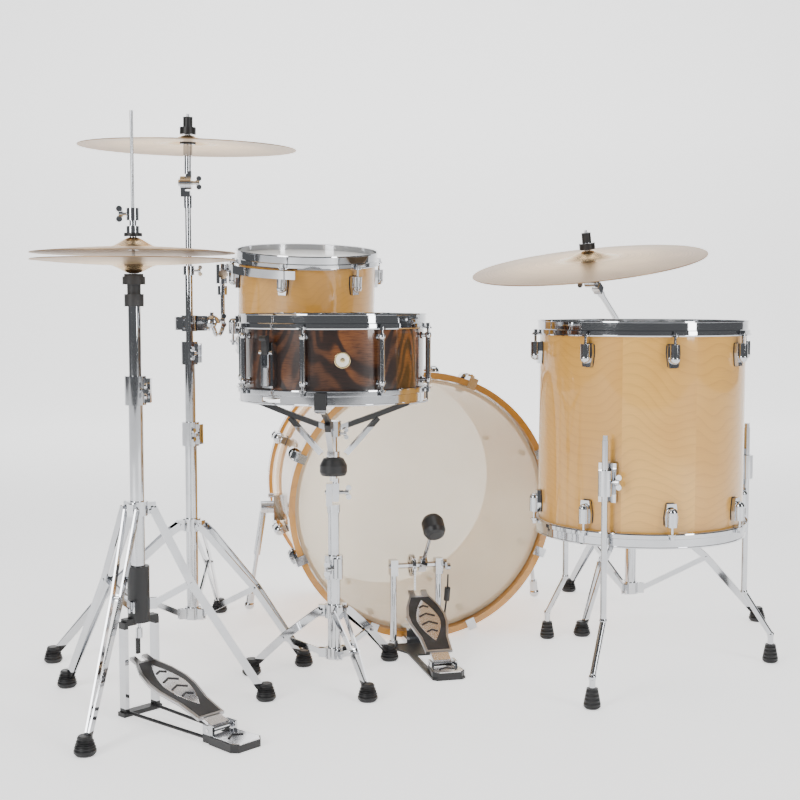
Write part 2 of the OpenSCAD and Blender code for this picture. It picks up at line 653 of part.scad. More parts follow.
module snare_basket() {
  color(steel) in_sn() {
    difference() {
      union() {
        translate([-1.5, -12, 355]) cube([13, 24, 36]);
        translate([5, 0, 388]) cylinder(r = 6.8, h = 12);
      }
      translate([-20, 0, sn_piv]) rotate([0, 90, 0]) cylinder(r = 4.01, h = 16);
    }
    translate([-17, 0, sn_piv]) rotate([0, 90, 0]) cylinder(r = 4, h = 36);
    translate([19, 0, sn_piv]) wing(4);
    translate([0, 0, 395]) cylinder(r = 7.8, h = 100);
    translate([0, 0, 406]) rotate_extrude() polygon([[0, 0], [24, 0], [27, 6], [27, 20], [20, 33],
      [12, 36], [0, 36]]);
    translate([0, 0, 441]) cylinder(r = 13, h = 12);
    translate([0, 0, 483]) cylinder(r = 15, h = 30);
    translate([8, 0, 488]) wing(12, 0.8);
    for (a = [-94, 22, 158]) basket_arm(a, 182);
  }
}

// ---- hi-hat: local +X toward the heel of its pedal ----
module in_hh() { translate(hh) rotate([0, 0, hh_dir]) children(); }
hl = [for (a = hh_legs) a - hh_dir];
module hihat_legs() {
  color(steel) in_hh() tripod(hl, [243, 243, 243], 27, 375, [68, 232], 200, 27);
}
module hihat_base() {
  color(steel) in_hh() {
    tube(tube_a, tube_b + run, 176, 562.5);
    collar(tube_b + run, 19, 562, 614, 42);
    ears(tube_a - 0.01, 19, 362, 388, hl, 16, 27, 375);
    difference() {
      translate([0, 0, 168]) cylinder(r = 20, h = 102);
      translate([0, 0, 160]) cylinder(r = tube_a - 0.01, h = 130);
    }
    difference() {
      for (a = hl) rotate([0, 0, a]) translate([18, -6, 190]) cube([15, 12, 20]);
      for (a = hl) rotate([0, 0, a]) translate([21, -2.6, 180]) cube([15, 5.2, 40]);
    }
    for (s = [-1, 1]) {
      translate([-9, s * 34 - 4, 6]) cube([18, 8, 166]);
      translate([-9, s * 24 - 9, 165]) cube([18, 22, 12]);
      rod([2, s * 30, 7], [236, s * 22, 7], 3);
    }
    translate([-10, -42, 0]) cube([20, 84, 8]);
    // heel plate
    translate([0, 0, 0]) linear_extrude(14) polygon([[232, -30], [292, -33], [303, -24],
      [303, 24], [292, 33], [232, 30]]);
    for (s = [-1, 1]) difference() {
      translate([213, s * 25 - 2.5, 0]) cube([26, 5, 30]);
      translate([hh_hinge[0], s * 25 - 6, hh_hinge[1]]) rotate([-90, 0, 0]) cylinder(r = 3 + run, h = 12);
    }
  }
}
module hihat_upper_tube() {
  color(steel) in_hh() tube(tube_b, 6.5, 400, 748);
}
module hihat_seat() {
  color(black) in_hh() {
    difference() {
      union() {
        translate([0, 0, 738]) cylinder(r = 17, h = 22);
        translate([0, 0, 759.5]) cylinder(r = 12, h = 18);
        translate([0, 0, 777]) cylinder(r = 20, h = 14);
        translate([0, 0, 790.5]) cylinder(r = 17, h = 5.3);
      }
      translate([0, 0, 730]) cylinder(r = tube_b + 0.02, h = 18.02);
      translate([0, 0, 740]) cylinder(r = 3.6, h = 70);
    }
  }
}
module hihat_bottom_cymbal() {
  color(bronze) in_hh() translate([0, 0, 821]) mirror([0, 0, 1]) cymbal(hat_r, 24.5, 15, 46, 7);
}
module hihat_pull_rod() {
  color(steel) in_hh() {
    translate([0, 0, 150]) cylinder(r = 3, h = 933);
    translate([0, 0, 138]) cylinder(r = 6, h = 18);
    tube(6.2, 2.99, 838, 900);
    tube(11, 6.1, 838, 846);
    tube(11, 6.1, 846.5, 856.5);
    tube(16, 6.1, 861.8, 868);
    tube(11.5, 6.1, 868, 880);
    tube(11, 2.99, 890, 912);
    rotate([0, 0, 180 - hh_dir]) translate([9, 0, 902]) wing(8);
  }
}
module hihat_top_cymbal() {
  color(bronze) in_hh() translate([0, 0, 833]) cymbal(hat_r, 27.5, 17, 46, 7);
}
hb_toe = [-6, 95];
hb_ang = atan2(hb_toe[1] - hh_hinge[1], hh_hinge[0] - hb_toe[0]);
hb_len = norm([hb_toe[1] - hh_hinge[1], hh_hinge[0] - hb_toe[0]]);
module hihat_footboard() {
  color(steel) in_hh() translate([hh_hinge[0], 0, hh_hinge[1]]) rotate([0, 0, 90]) rotate([hb_ang, 0, 0]) {
    difference() {
      translate([0, 4, 0]) board(hb_len - 4, 29, 42, 20, 3);
      for (s = [-1, 1]) translate([s * 26.5 - 6, -10, -20]) cube([12, 34, 40]);
    }
    translate([-19, 0, 0]) rotate([0, 90, 0]) cylinder(r = 6, h = 38);
    translate([-19, 0, 0]) cube([38, 12, 8]);
    translate([-28, 0, 0]) rotate([0, 90, 0]) cylinder(r = 3, h = 56);
  }
}
module hihat_chain() {
  color(black) in_hh() for (z = [107.5 : 5 : 132.5]) translate([-6, -4, z]) cube([4, 8, 4.6]);
}

// ---- crash stand ----
module in_cr() { translate(cr) children(); }
module crash_legs() {
  color(steel) in_cr() tripod(cr_legs, [312, 312, 312], 27, 266, [150, 148], 72, 27);
}
module crash_lower_tube() {
  color(steel) in_cr() {
    tube(tube_a, tube_b + run, 60, 437.5);
    collar(tube_b + run, 18.5, 437, 488, -25);
    ears(tube_a - 0.01, 19, 252, 279, cr_legs, 16, 27, 266);
    ears(tube_a - 0.01, 18, 58, 84, cr_legs, 16, 0, 0, 21);
    translate([0, 0, 58]) cylinder(r = tube_a - 1, h = 5);
  }
}
module crash_middle_tube() {
  color(steel) in_cr() {
    translate([0, 0, 200]) cylinder(r = tube_b, h = 420);
    difference() {
      collar(7.9, 17.5, 612, 661, -25);
      translate([0, 0, 600]) cylinder(r = 7.9, h = 80);
    }
    tube(8, 6.35 + run, 620.2, 804);
    tube(11.5, 6.35 + run, 803, 822);
    translate([9, 0, 812]) wing(10, 0.8);
  }
}
cr_piv = 998;
cr_tilt = [1.7, 1.1, 0];
module ratchet_fork() {
  difference() {
    union() {
      translate([-15, 0, 0]) rotate([0, 90, 0]) cylinder(r = 14, h = 11.8);
      translate([-14, -9, -24]) cube([10, 18, 24]);
      translate([-14, -9, -30]) cube([20, 18, 12]);
    }
    translate([-20, 0, 0]) rotate([0, 90, 0]) cylinder(r = 4 + run, h = 30);
    translate([-3.2, -20, -17]) cube([30, 40, 40]);
  }
}
module crash_upper_tube() {
  color(steel) in_cr() {
    translate([0, 0, 704]) cylinder(r = 6.35, h = 268);
    translate([0, 0, cr_piv]) ratchet_fork();
    translate([0, 0, 945]) cylinder(r = 8.6, h = 26);
  }
}
// stem, seat, felts and wing nut above a tilter disc whose pivot is at the origin
module cymbal_stem(tilt) {
  difference() {
    translate([-3, 0, 0]) rotate([0, 90, 0]) cylinder(r = 14, h = 11.8);
    translate([-8, 0, 0]) rotate([0, 90, 0]) cylinder(r = 3.99, h = 30);
  }
  translate([-18, 0, 0]) rotate([0, 90, 0]) cylinder(r = 4, h = 34);
  translate([-19.5, 0, 0]) rotate([0, 90, 0]) cylinder(r = 7, h = 4);
  translate([12, 0, 0]) wing(5);
  translate([-2.9, -7, 8]) cube([11.6, 14, 16]);
  rotate(tilt) {
    translate([0, 0, 18]) cylinder(r = 7, h = 40);
    translate([0, 0, 90]) cylinder(r = 11, h = 5.5);
    translate([0, 0, 57]) cylinder(r = 9.5, h = 24);
    translate([0, 0, 80.5]) cylinder(r = 17, h = 10);
    translate([0, 0, 90]) cylinder(r = 5.4, h = 28);
    tube(17, 5.39, 101, 116);
    translate([0, 0, 115.5]) cylinder(r = 10, h = 22);
    translate([0, 0, 137]) cylinder(r = 3, h = 7);
  }
}
module crash_tilter() { color(steel) in_cr() translate([0, 0, cr_piv]) cymbal_stem(cr_tilt); }
module crash_cymbal() {
  color(bronze) in_cr() translate([0, 0, cr_piv]) rotate(cr_tilt) translate([0, 0, 73])
    cymbal(crash_r, 26, 16, 55, 5.8);
}

// ---- ride stand with boom ----
module in_rd() { translate(rd) children(); }
rd_piv = o + [353, 148, 791];
rd_t = rd + [0, 0, 631];
rd_tilt = [8.8, -7, 0];
bm = (rd_piv - rd_t) / norm(rd_piv - rd_t);
module ride_legs() {
  color(steel) in_rd() for (i = [0 : 2]) leg(rd_legs[i], i == 2 ? 235 : 304, 27, 266,
    i == 2 ? [112, 150] : [148, 148], 71, 27);
}
module ride_lower_tube() {
  color(steel) in_rd() {
    tube(tube_a, tube_b + run, 60, 430.5);
    collar(tube_b + run, 18.5, 430, 480, -25);
    ears(tube_a - 0.01, 19, 252, 279, rd_legs, 16, 27, 266);
    ears(tube_a - 0.01, 18, 57, 84, rd_legs, 16, 0, 0, 21);
    translate([0, 0, 58]) cylinder(r = tube_a - 1, h = 5);
  }
}
bm_az = atan2(bm[1], bm[0]);
bm_el = asin(bm[2]);
module ride_upper_tube() {
  color(steel) in_rd() {
    translate([0, 0, 200]) cylinder(r = tube_b, h = 398);
    translate([0, 0, 582]) cylinder(r = 13, h = 18);
    translate([0, 0, 631]) rotate([0, 0, bm_az]) {
      difference() {
        union() {
          translate([-14, -15, -30]) cube([28, 11, 33]);
          translate([0, -4, 0]) rotate([90, 0, 0]) cylinder(r = 16, h = 11);
          translate([-14, -15, -33]) cube([28, 28, 6]);
        }
        translate([0, 20, 0]) rotate([90, 0, 0]) cylinder(r = 4 + run, h = 50);
      }
    }
  }
}
module ride_boom_arm() {
  color(steel) {
    translate(rd_t) rotate([0, 0, bm_az]) {
      translate([0, 14, 0]) rotate([90, 0, 0]) cylinder(r = 16, h = 17.7);
      rotate([0, -bm_el, 0]) translate([-24, 0, -11]) cube([48, 14, 22]);
      translate([0, 18, 0]) rotate([90, 0, 0]) cylinder(r = 4, h = 36);
      rotate([0, 0, 90]) translate([15, 0, 0]) wing(5, 1.2);
    }
    n = [-sin(bm_az), cos(bm_az), 0];
    rod(rd_t - bm * 92 + n * 7, rd_t + bm * (norm(rd_piv - rd_t) - 40) + n * 7, 6.2);
    rod(rd_t + bm * (norm(rd_piv - rd_t) - 52) + n * 7, rd_t + bm * (norm(rd_piv - rd_t) - 33) + n * 7, 8);
    translate(rd_piv) rotate([0, 0, bm_az]) {
      difference() {
        union() {
          translate([0, 14.8, 0]) rotate([90, 0, 0]) cylinder(r = 14, h = 11.8);
          rotate([0, -bm_el, 0]) translate([-30, 4, -8]) cube([22, 9.6, 16]);
          rotate([0, -bm_el, 0]) translate([-38, -1.6, -9]) cube([20, 17.2, 18]);
        }
        translate([0, 30, 0]) rotate([90, 0, 0]) cylinder(r = 4 + run, h = 50);
      }
    }
  }
}
module ride_tilter() {
  // tilt seen from the tilter's own turned frame
  color(steel) translate(rd_piv) {
    rotate([0, 0, bm_az]) {
      difference() {
        translate([0, 2.6, 0]) rotate([90, 0, 0]) cylinder(r = 14, h = 11.8);
        translate([0, 30, 0]) rotate([90, 0, 0]) cylinder(r = 3.99, h = 50);
      }
      translate([0, 18, 0]) rotate([90, 0, 0]) cylinder(r = 4, h = 34);
      translate([0, 19.5, 0]) rotate([90, 0, 0]) cylinder(r = 7, h = 4);
      rotate([0, 0, -90]) translate([12, 0, 0]) wing(5);
    }
    rotate([0, 0, bm_az]) translate([-7, -9.1, 8]) cube([14, 11.6, 15]);
    rotate(rd_tilt) ride_stem();
  }
}
module ride_stem() {
  translate([0, 0, 19]) cylinder(r = 6, h = 24);
  translate([0, 0, 30]) cylinder(r = 9.5, h = 22);
  translate([0, 0, 51]) cylinder(r = 17, h = 9);
  translate([0, 0, 59]) cylinder(r = 5.4, h = 30);
  translate([0, 0, 59]) cylinder(r = 11, h = 4.5);
  tube(17, 5.39, 70, 84);
  translate([0, 0, 83.5]) cylinder(r = 10, h = 22);
  translate([0, 0, 105]) cylinder(r = 3, h = 7);
}
module ride_cymbal() {
  color(bronze) translate(rd_piv) rotate(rd_tilt) translate([0, 0, 37])
    cymbal(ride_r, 30, 17, 62, 5.8);
}

// ---- floor tom ----
module in_ft() { translate(ft) children(); }
fz1 = 286 + ft_h - 13.5;
fz0 = 286 + 13.5;
module floor_tom_shell() { color(maple) in_ft() shell(ft_r, 7, fz0, fz1); }
module floor_tom_hoops() {
  color(steel) in_ft() {
    translate([0, 0, fz1]) steel_hoop(ft_r, 8, -84);
    translate([0, 0, fz0]) mirror([0, 0, 1]) steel_hoop(ft_r, 8, -84);
  }
}
module floor_tom_heads() {
  color([0.93, 0.93, 0.9]) in_ft() {
    translate([0, 0, fz1]) film_head(ft_r);
    translate([0, 0, fz0]) mirror([0, 0, 1]) film_head(ft_r);
  }
}
module floor_tom_lugs() {
  color(steel) in_ft() {
    shields(ft_r, 8, -84, fz0, fz1, 24.5, 43, 24, 29);
    for (a = ft_legs) rotate([0, 0, a]) difference() {
      union() {
        translate([ft_r - 2, -17, 372]) cube([14, 34, 74]);
        translate([ft_leg_r, 0, 386]) cylinder(r = 13, h = 48);
        translate([ft_r + 8, -9, 386]) cube([18, 18, 48]);
        translate([ft_leg_r - 4, 10, 412]) rotate([0, 0, 90]) wing(9);
      }
      translate([ft_leg_r, 0, 340]) cylinder(r = 6 + run, h = 120);
      cylinder(r = ft_r + 0.2, h = 800, $fn = big);
    }
  }
}
module floor_leg(a) {
  color(steel) in_ft() rotate([0, 0, a]) {
    translate([ft_leg_r, 0, 489]) cylinder(r = 5, h = 10);
    path([[ft_leg_r, 0, 490], [ft_leg_r, 0, 150], [ft_foot_r, 0, 58], [ft_foot_r, 0, 24]], 6);
  }
  color(black) in_ft() rotate([0, 0, a]) translate([ft_foot_r, 0, 0])
    rotate_extrude() polygon([[0, 0], [12, 0], [16, 4], [16, 9], [10.5, 38], [0, 38]]);
}
module floor_tom_leg_front() { floor_leg(ft_legs[0]); }
module floor_tom_leg_right() { floor_leg(ft_legs[1]); }
module floor_tom_leg_rear() { floor_leg(ft_legs[2]); }

bass_shell();
bass_hoops();
bass_heads();
bass_lugs();
bass_claws();
bass_spur_brackets();
bass_spur_left();
bass_spur_right();
pedal_frame();
pedal_footboard();
pedal_axle();
pedal_beater();
pedal_spring();
pedal_chain();
tom_shell();
tom_hoops();
tom_heads();
tom_lugs();
tom_bracket();
tom_arm();
tom_clamp();
snare_shell();
snare_hoops();
snare_heads();
snare_lugs();
snare_strainer();
snare_lever();
snare_wires();
snare_stand_legs();
snare_stand_base();
snare_stand_upper();
snare_basket();
hihat_legs();
hihat_base();
hihat_upper_tube();
hihat_seat();
hihat_bottom_cymbal();
hihat_pull_rod();
hihat_top_cymbal();
hihat_footboard();
hihat_chain();
crash_legs();
crash_lower_tube();
crash_middle_tube();
crash_upper_tube();
crash_tilter();
crash_cymbal();
ride_legs();
ride_lower_tube();
ride_upper_tube();
ride_boom_arm();
ride_tilter();
ride_cymbal();
floor_tom_shell();
floor_tom_hoops();
floor_tom_heads();
floor_tom_lugs();
floor_tom_leg_front();
floor_tom_leg_right();
floor_tom_leg_rear();
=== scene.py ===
"""Looks of the acoustic drum kit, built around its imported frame."""
import json
from math import atan2, cos, pi, radians, sin

import bpy
import numpy as np
from mathutils import Matrix, Vector


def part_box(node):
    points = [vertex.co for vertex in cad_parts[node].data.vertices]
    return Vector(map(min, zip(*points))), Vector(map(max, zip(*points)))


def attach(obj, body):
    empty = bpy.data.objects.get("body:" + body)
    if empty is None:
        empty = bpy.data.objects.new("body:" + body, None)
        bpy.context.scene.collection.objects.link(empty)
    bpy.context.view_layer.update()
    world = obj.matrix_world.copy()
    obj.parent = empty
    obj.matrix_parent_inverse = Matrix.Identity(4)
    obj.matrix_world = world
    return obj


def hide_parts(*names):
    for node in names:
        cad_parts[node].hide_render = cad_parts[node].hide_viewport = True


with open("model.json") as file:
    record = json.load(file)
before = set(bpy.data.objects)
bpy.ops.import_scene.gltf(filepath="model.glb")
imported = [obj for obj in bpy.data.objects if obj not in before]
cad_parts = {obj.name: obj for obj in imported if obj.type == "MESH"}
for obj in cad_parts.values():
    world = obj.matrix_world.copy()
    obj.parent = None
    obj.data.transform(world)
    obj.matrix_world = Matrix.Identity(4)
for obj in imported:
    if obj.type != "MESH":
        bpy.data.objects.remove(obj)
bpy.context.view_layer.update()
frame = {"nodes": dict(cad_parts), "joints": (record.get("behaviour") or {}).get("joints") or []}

bl_info = {
    "name": "Drum Kit Dresser",
    "version": (1, 0, 0),
    "blender": (4, 5, 0),
    "location": "View3D > Sidebar > Drum Kit",
    "description": "Builds the finished surfaces of an acoustic drum kit on its frame",
    "category": "Add Mesh",
}

NODES = frame["nodes"]
JOINTS = {j["name"]: j for j in frame["joints"]}


# ---------------------------------------------------------------- places taken from the frame
def middle(node):
    """Centre of a node's box."""
    lo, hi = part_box(node)
    return np.array([(a + b) / 2 for a, b in zip(lo, hi)])


def pivot(name):
    """Pivot point of a joint."""
    return np.array(JOINTS[name]["pos_m"], float)


def direction(name):
    """Unit axis of a joint."""
    return np.array(JOINTS[name]["axis"], float)


HAT_AXIS = middle("hihat_upper_tube")[:2]
CRASH_PIVOT = pivot("crash_tilt")
RIDE_PIVOT = pivot("ride_tilt")
SNARE = middle("snare_shell")
STAND = pivot("snare_tilt")
FLOOR_TOM = middle("floor_tom_shell")
RACK_TOM = middle("tom_shell")
BASS = middle("bass_shell")
BASS_YAW = atan2(direction("bass_spur_left_fold")[1], direction("bass_spur_left_fold")[0])
PEDAL_YAW = atan2(-direction("bass_beater_swing")[1], -direction("bass_beater_swing")[0])
RACK_TILT = (radians(7.3), radians(1.6))
PEDAL = np.array([*pivot("bass_beater_swing")[:2], 0])
HAT_YAW = radians(-42.5)
RACK_ROD = pivot("rack_arm_swing") + np.array([0.012, 0.088, 0])
RIM_STEPS = 128             # points round each cymbal
FOOT_RIB = 0.0075           # spacing of the ribs on the rubber feet
BEATER = np.array([0.014, -0.134 * sin(radians(43)), 0.178 + 0.134 * cos(radians(43))])


def turned(x_angle=0.0, y_angle=0.0, z_angle=0.0):
    """3x3 rotation: about X first, then Y, then Z."""
    m = (Matrix.Rotation(z_angle, 3, "Z") @ Matrix.Rotation(y_angle, 3, "Y")
         @ Matrix.Rotation(x_angle, 3, "X"))
    return np.array(m)


def placed(points, origin, turn):
    """Points turned, then moved to an origin."""
    return np.asarray(points, float) @ np.asarray(turn).T + np.asarray(origin, float)


# ---------------------------------------------------------------- surfaces
def grid_faces(rows, cols, wrap_rows=False, wrap_cols=False):
    """Quads joining neighbours of a rows x cols grid of points."""
    i = np.arange(rows if wrap_rows else rows - 1)
    j = np.arange(cols if wrap_cols else cols - 1)
    a, b = np.meshgrid(i, j, indexing="ij")
    a2, b2 = (a + 1) % rows, (b + 1) % cols
    return np.stack([a * cols + b, a2 * cols + b, a2 * cols + b2, a * cols + b2], -1).reshape(-1, 4)


class Skin:
    """Vertices and faces gathered from several parametric surfaces."""

    def __init__(self):
        self.points, self.faces, self.marks, self.count = [], [], [], 0

    def add(self, points, faces, mark=0):
        """Adds one surface, its faces marked with a material number."""
        points = np.asarray(points, float).reshape(-1, 3)
        faces = np.asarray(faces)
        self.points.append(points)
        self.faces.append(faces + self.count)
        self.marks.append(np.full(len(faces), mark))
        self.count += len(points)
        return self

    def grid(self, points, wrap_rows=False, wrap_cols=False, mark=0):
        """Adds a rows x cols grid of points."""
        rows, cols = points.shape[:2]
        return self.add(points, grid_faces(rows, cols, wrap_rows, wrap_cols), mark)


def revolved(profile, steps=48, centre=(0, 0, 0), turn=None):
    """Surface of revolution: P(t, a) = (r(t) cos a, r(t) sin a, z(t)), then turned and moved."""
    profile = np.asarray(profile, float)
    a = np.arange(steps) * 2 * pi / steps
    r, z = profile[:, 0][:, None], profile[:, 1][:, None]
    p = np.stack([r * np.cos(a), r * np.sin(a), z + 0 * a], -1)
    if turn is not None:
        p = p @ np.asarray(turn).T
    return p + np.asarray(centre, float)


def smooth_path(points, per=8):
    """Catmull-Rom curve through the points, per samples for each span."""
    p = np.asarray(points, float)
    p = np.vstack([2 * p[0] - p[1], p, 2 * p[-1] - p[-2]])
    t = np.linspace(0, 1, per, endpoint=False)[:, None]
    out = []
    for k in range(1, len(p) - 2):
        a, b, c, d = p[k - 1], p[k], p[k + 1], p[k + 2]
        out.append(0.5 * (2 * b + (c - a) * t + (2 * a - 5 * b + 4 * c - d) * t ** 2
                          + (3 * b - a - 3 * c + d) * t ** 3))
    out.append(p[-2][None])
    return np.vstack(out)


def swept(path, section, up=(0, 0, 1), scale=None):
    """A closed section carried along a path: P(s, t) = c(s) + k(s) (x(t) side(s) + y(t) rise(s))."""
    c = np.asarray(path, float)
    d = np.gradient(c, axis=0)
    d /= np.linalg.norm(d, axis=1)[:, None]
    side = np.cross(d, np.asarray(up, float))
    side /= np.linalg.norm(side, axis=1)[:, None] + 1e-12
    rise = np.cross(side, d)
    s = np.asarray(section, float)
    k = np.ones(len(c)) if scale is None else np.asarray(scale)
    return c[:, None] + k[:, None, None] * (s[None, :, :1] * side[:, None] + s[None, :, 1:] * rise[:, None])


def capped(skin, points, mark=0):
    """Adds a tube of sections and closes both ends with a fan to the middle."""
    rows, cols = points.shape[:2]
    first, last = points[0].mean(0), points[-1].mean(0)
    flat = np.vstack([points.reshape(-1, 3), first, last])
    j = np.arange(cols)
    k = (j + 1) % cols
    n = rows * cols
    quads = grid_faces(rows, cols, wrap_cols=True)
    lids = np.vstack([np.stack([k, j, np.full(cols, n), np.full(cols, n)], -1),
                      np.stack([(rows - 1) * cols + j, (rows - 1) * cols + k,
                                np.full(cols, n + 1), np.full(cols, n + 1)], -1)])
    skin.add(flat, np.vstack([quads, lids]), mark)
    return skin


def rounded_bar(width, height, bevel, steps=3):
    """Section of a flat bar with rounded corners, counter-clockwise."""
    a = np.linspace(0, pi / 2, steps + 1)
    corner = np.stack([np.cos(a), np.sin(a)], -1) * bevel
    out = []
    for k, (sx, sy) in enumerate([(1, 1), (-1, 1), (-1, -1), (1, -1)]):
        c, s = cos(k * pi / 2), sin(k * pi / 2)
        turned_corner = corner @ np.array([[c, s], [-s, c]])
        out.append(turned_corner + [sx * (width / 2 - bevel), sy * (height / 2 - bevel)])
    return np.vstack(out)


def circle(radius, steps=16):
    """Round section."""
    a = np.arange(steps) * 2 * pi / steps
    return np.stack([np.cos(a), np.sin(a)], -1) * radius


def piece(name, skin, body, materials, replaces=(), smooth=True):
    """Turns gathered surfaces into one object that rides a body of the frame."""
    points = np.vstack(skin.points)
    faces = np.vstack(skin.faces)
    marks = np.concatenate(skin.marks)
    mesh = bpy.data.meshes.new(name)
    loops = [f[:3] if f[2] == f[3] else f for f in faces.tolist()]
    mesh.from_pydata(points.tolist(), [], loops)
    for m in materials:
        mesh.materials.append(m)
    mesh.polygons.foreach_set("material_index", marks.astype(np.int32))
    mesh.polygons.foreach_set("use_smooth", np.full(len(loops), smooth))
    mesh.validate()
    mesh.update()
    obj = bpy.data.objects.new(name, mesh)
    bpy.context.scene.collection.objects.link(obj)
    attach(obj, body)
    if replaces:
        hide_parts(*replaces)
    return obj


# ---------------------------------------------------------------- materials
def mix(tree, kind, a, b, factor, place=(0, 0)):
    """Colour mix node fed with values or sockets."""
    node = tree.nodes.new("ShaderNodeMix")
    node.data_type = "RGBA"
    node.blend_type = kind
    node.location = place
    for socket, value in ((node.inputs[6], a), (node.inputs[7], b), (node.inputs[0], factor)):
        put(tree, socket, value)
    return node.outputs[2]


def put(tree, socket, value):
    """Links a socket or sets its value."""
    if isinstance(value, bpy.types.NodeSocket):
        tree.links.new(value, socket)
    elif isinstance(value, (tuple, list)) and len(value) == 3 and socket.type == "RGBA":
        socket.default_value = (*value, 1)
    else:
        socket.default_value = value


def maths(tree, operation, a, b=None, c=None, clamp=False):
    """Math node fed with values or sockets."""
    node = tree.nodes.new("ShaderNodeMath")
    node.operation = operation
    node.use_clamp = clamp
    for k, value in enumerate((a, b, c)):
        if value is not None:
            put(tree, node.inputs[k], value)
    return node.outputs[0]


def radius_from(tree, x, y):
    """Distance from the local z axis: sqrt(x^2 + y^2)."""
    squares = maths(tree, "ADD", maths(tree, "MULTIPLY", x, x), maths(tree, "MULTIPLY", y, y))
    return maths(tree, "SQRT", squares)


def remap(tree, value, low, high, to_low=0.0, to_high=1.0):
    """Map Range node with smooth ends."""
    node = tree.nodes.new("ShaderNodeMapRange")
    node.interpolation_type = "SMOOTHSTEP"
    for socket, v in zip(node.inputs, (value, low, high, to_low, to_high)):
        put(tree, socket, v)
    return node.outputs[0]


def noise(tree, vector, scale, detail=3.0, rough=0.5, distortion=0.0):
    """Noise texture value."""
    node = tree.nodes.new("ShaderNodeTexNoise")
    put(tree, node.inputs["Vector"], vector)
    node.inputs["Scale"].default_value = scale
    node.inputs["Detail"].default_value = detail
    node.inputs["Roughness"].default_value = rough
    node.inputs["Distortion"].default_value = distortion
    return node.outputs["Fac"]


def mapped(tree, centre=(0, 0, 0), rotation=(0, 0, 0), scale=(1, 1, 1)):
    """Object coordinates moved to a piece's own centre, turned upright, then scaled."""
    coord = tree.nodes.new("ShaderNodeTexCoord")
    shift = tree.nodes.new("ShaderNodeMapping")
    shift.vector_type = "TEXTURE"
    shift.inputs["Location"].default_value = tuple(centre)
    shift.inputs["Rotation"].default_value = tuple(rotation)
    tree.links.new(coord.outputs["Object"], shift.inputs["Vector"])
    out = shift.outputs[0]
    if tuple(scale) != (1, 1, 1):
        sized = tree.nodes.new("ShaderNodeMapping")
        sized.inputs["Scale"].default_value = tuple(scale)
        tree.links.new(out, sized.inputs["Vector"])
        out = sized.outputs[0]
    return out


def new_material(name, **constants):
    """Material with a Principled shader whose constant inputs are set."""
    material = bpy.data.materials.new(name)
    material.use_nodes = True
    tree = material.node_tree
    shader = tree.nodes["Principled BSDF"]
    for key, value in constants.items():
        socket = shader.inputs[key.replace("_", " ")]
        socket.default_value = (*value, 1) if isinstance(value, tuple) and len(value) == 3 else value
    return material, tree, shader


def bumped(tree, shader, height, strength, distance=0.001):
    """Feeds a height into the shader's normal."""
    node = tree.nodes.new("ShaderNodeBump")
    node.inputs["Strength"].default_value = strength
    node.inputs["Distance"].default_value = distance
    put(tree, node.inputs["Height"], height)
    tree.links.new(node.outputs[0], shader.inputs["Normal"])


def new_group(name, inputs, outputs):
    """Empty shader node group with named sockets; returns the tree and its input and output nodes."""
    tree = bpy.data.node_groups.new(name, "ShaderNodeTree")
    for label, kind, value in inputs:
        socket = tree.interface.new_socket(label, in_out="INPUT", socket_type=kind)
        if value is not None:
            socket.default_value = value
    for label, kind in outputs:
        tree.interface.new_socket(label, in_out="OUTPUT", socket_type=kind)
    return tree, tree.nodes.new("NodeGroupInput"), tree.nodes.new("NodeGroupOutput")


FLOAT, COLOR, VECTOR = "NodeSocketFloat", "NodeSocketColor", "NodeSocketVector"


def smudge_group():
    """Handling marks: a soft cloud and a few fine scratches."""
    tree, gin, gout = new_group("handling_marks", [("Vector", VECTOR, None), ("Size", FLOAT, 1.0)],
                                [("Smudge", FLOAT), ("Scratch", FLOAT)])
    vec = tree.nodes.new("ShaderNodeVectorMath")
    vec.operation = "SCALE"
    tree.links.new(gin.outputs["Vector"], vec.inputs[0])
    tree.links.new(gin.outputs["Size"], vec.inputs["Scale"])
    cloud = noise(tree, vec.outputs[0], 14, 4, 0.55)
    stretch = tree.nodes.new("ShaderNodeMapping")
    stretch.inputs["Scale"].default_value = (260, 260, 12)
    stretch.inputs["Rotation"].default_value = (0.3, 0.5, 0.2)
    tree.links.new(vec.outputs[0], stretch.inputs["Vector"])
    fine = noise(tree, stretch.outputs[0], 1.0, 2, 0.5)
    tree.links.new(remap(tree, cloud, 0.42, 0.72), gout.inputs["Smudge"])
    tree.links.new(remap(tree, fine, 0.63, 0.75), gout.inputs["Scratch"])
    return tree


def band_group():
    """1 where a point lies between two heights and two distances from the upright axis."""
    tree, gin, gout = new_group(
        "zone_band", [("Vector", VECTOR, None), ("Low", FLOAT, 0), ("High", FLOAT, 1),
                      ("Inner", FLOAT, 0), ("Outer", FLOAT, 1)], [("Zone", FLOAT)])
    parts = tree.nodes.new("ShaderNodeSeparateXYZ")
    tree.links.new(gin.outputs["Vector"], parts.inputs[0])
    x, y, z = parts.outputs
    r = radius_from(tree, x, y)
    tests = [maths(tree, "GREATER_THAN", z, gin.outputs["Low"]),
             maths(tree, "LESS_THAN", z, gin.outputs["High"]),
             maths(tree, "GREATER_THAN", r, gin.outputs["Inner"]),
             maths(tree, "LESS_THAN", r, gin.outputs["Outer"])]
    out = tests[0]
    for t in tests[1:]:
        out = maths(tree, "MULTIPLY", out, t)
    tree.links.new(out, gout.inputs["Zone"])
    return tree


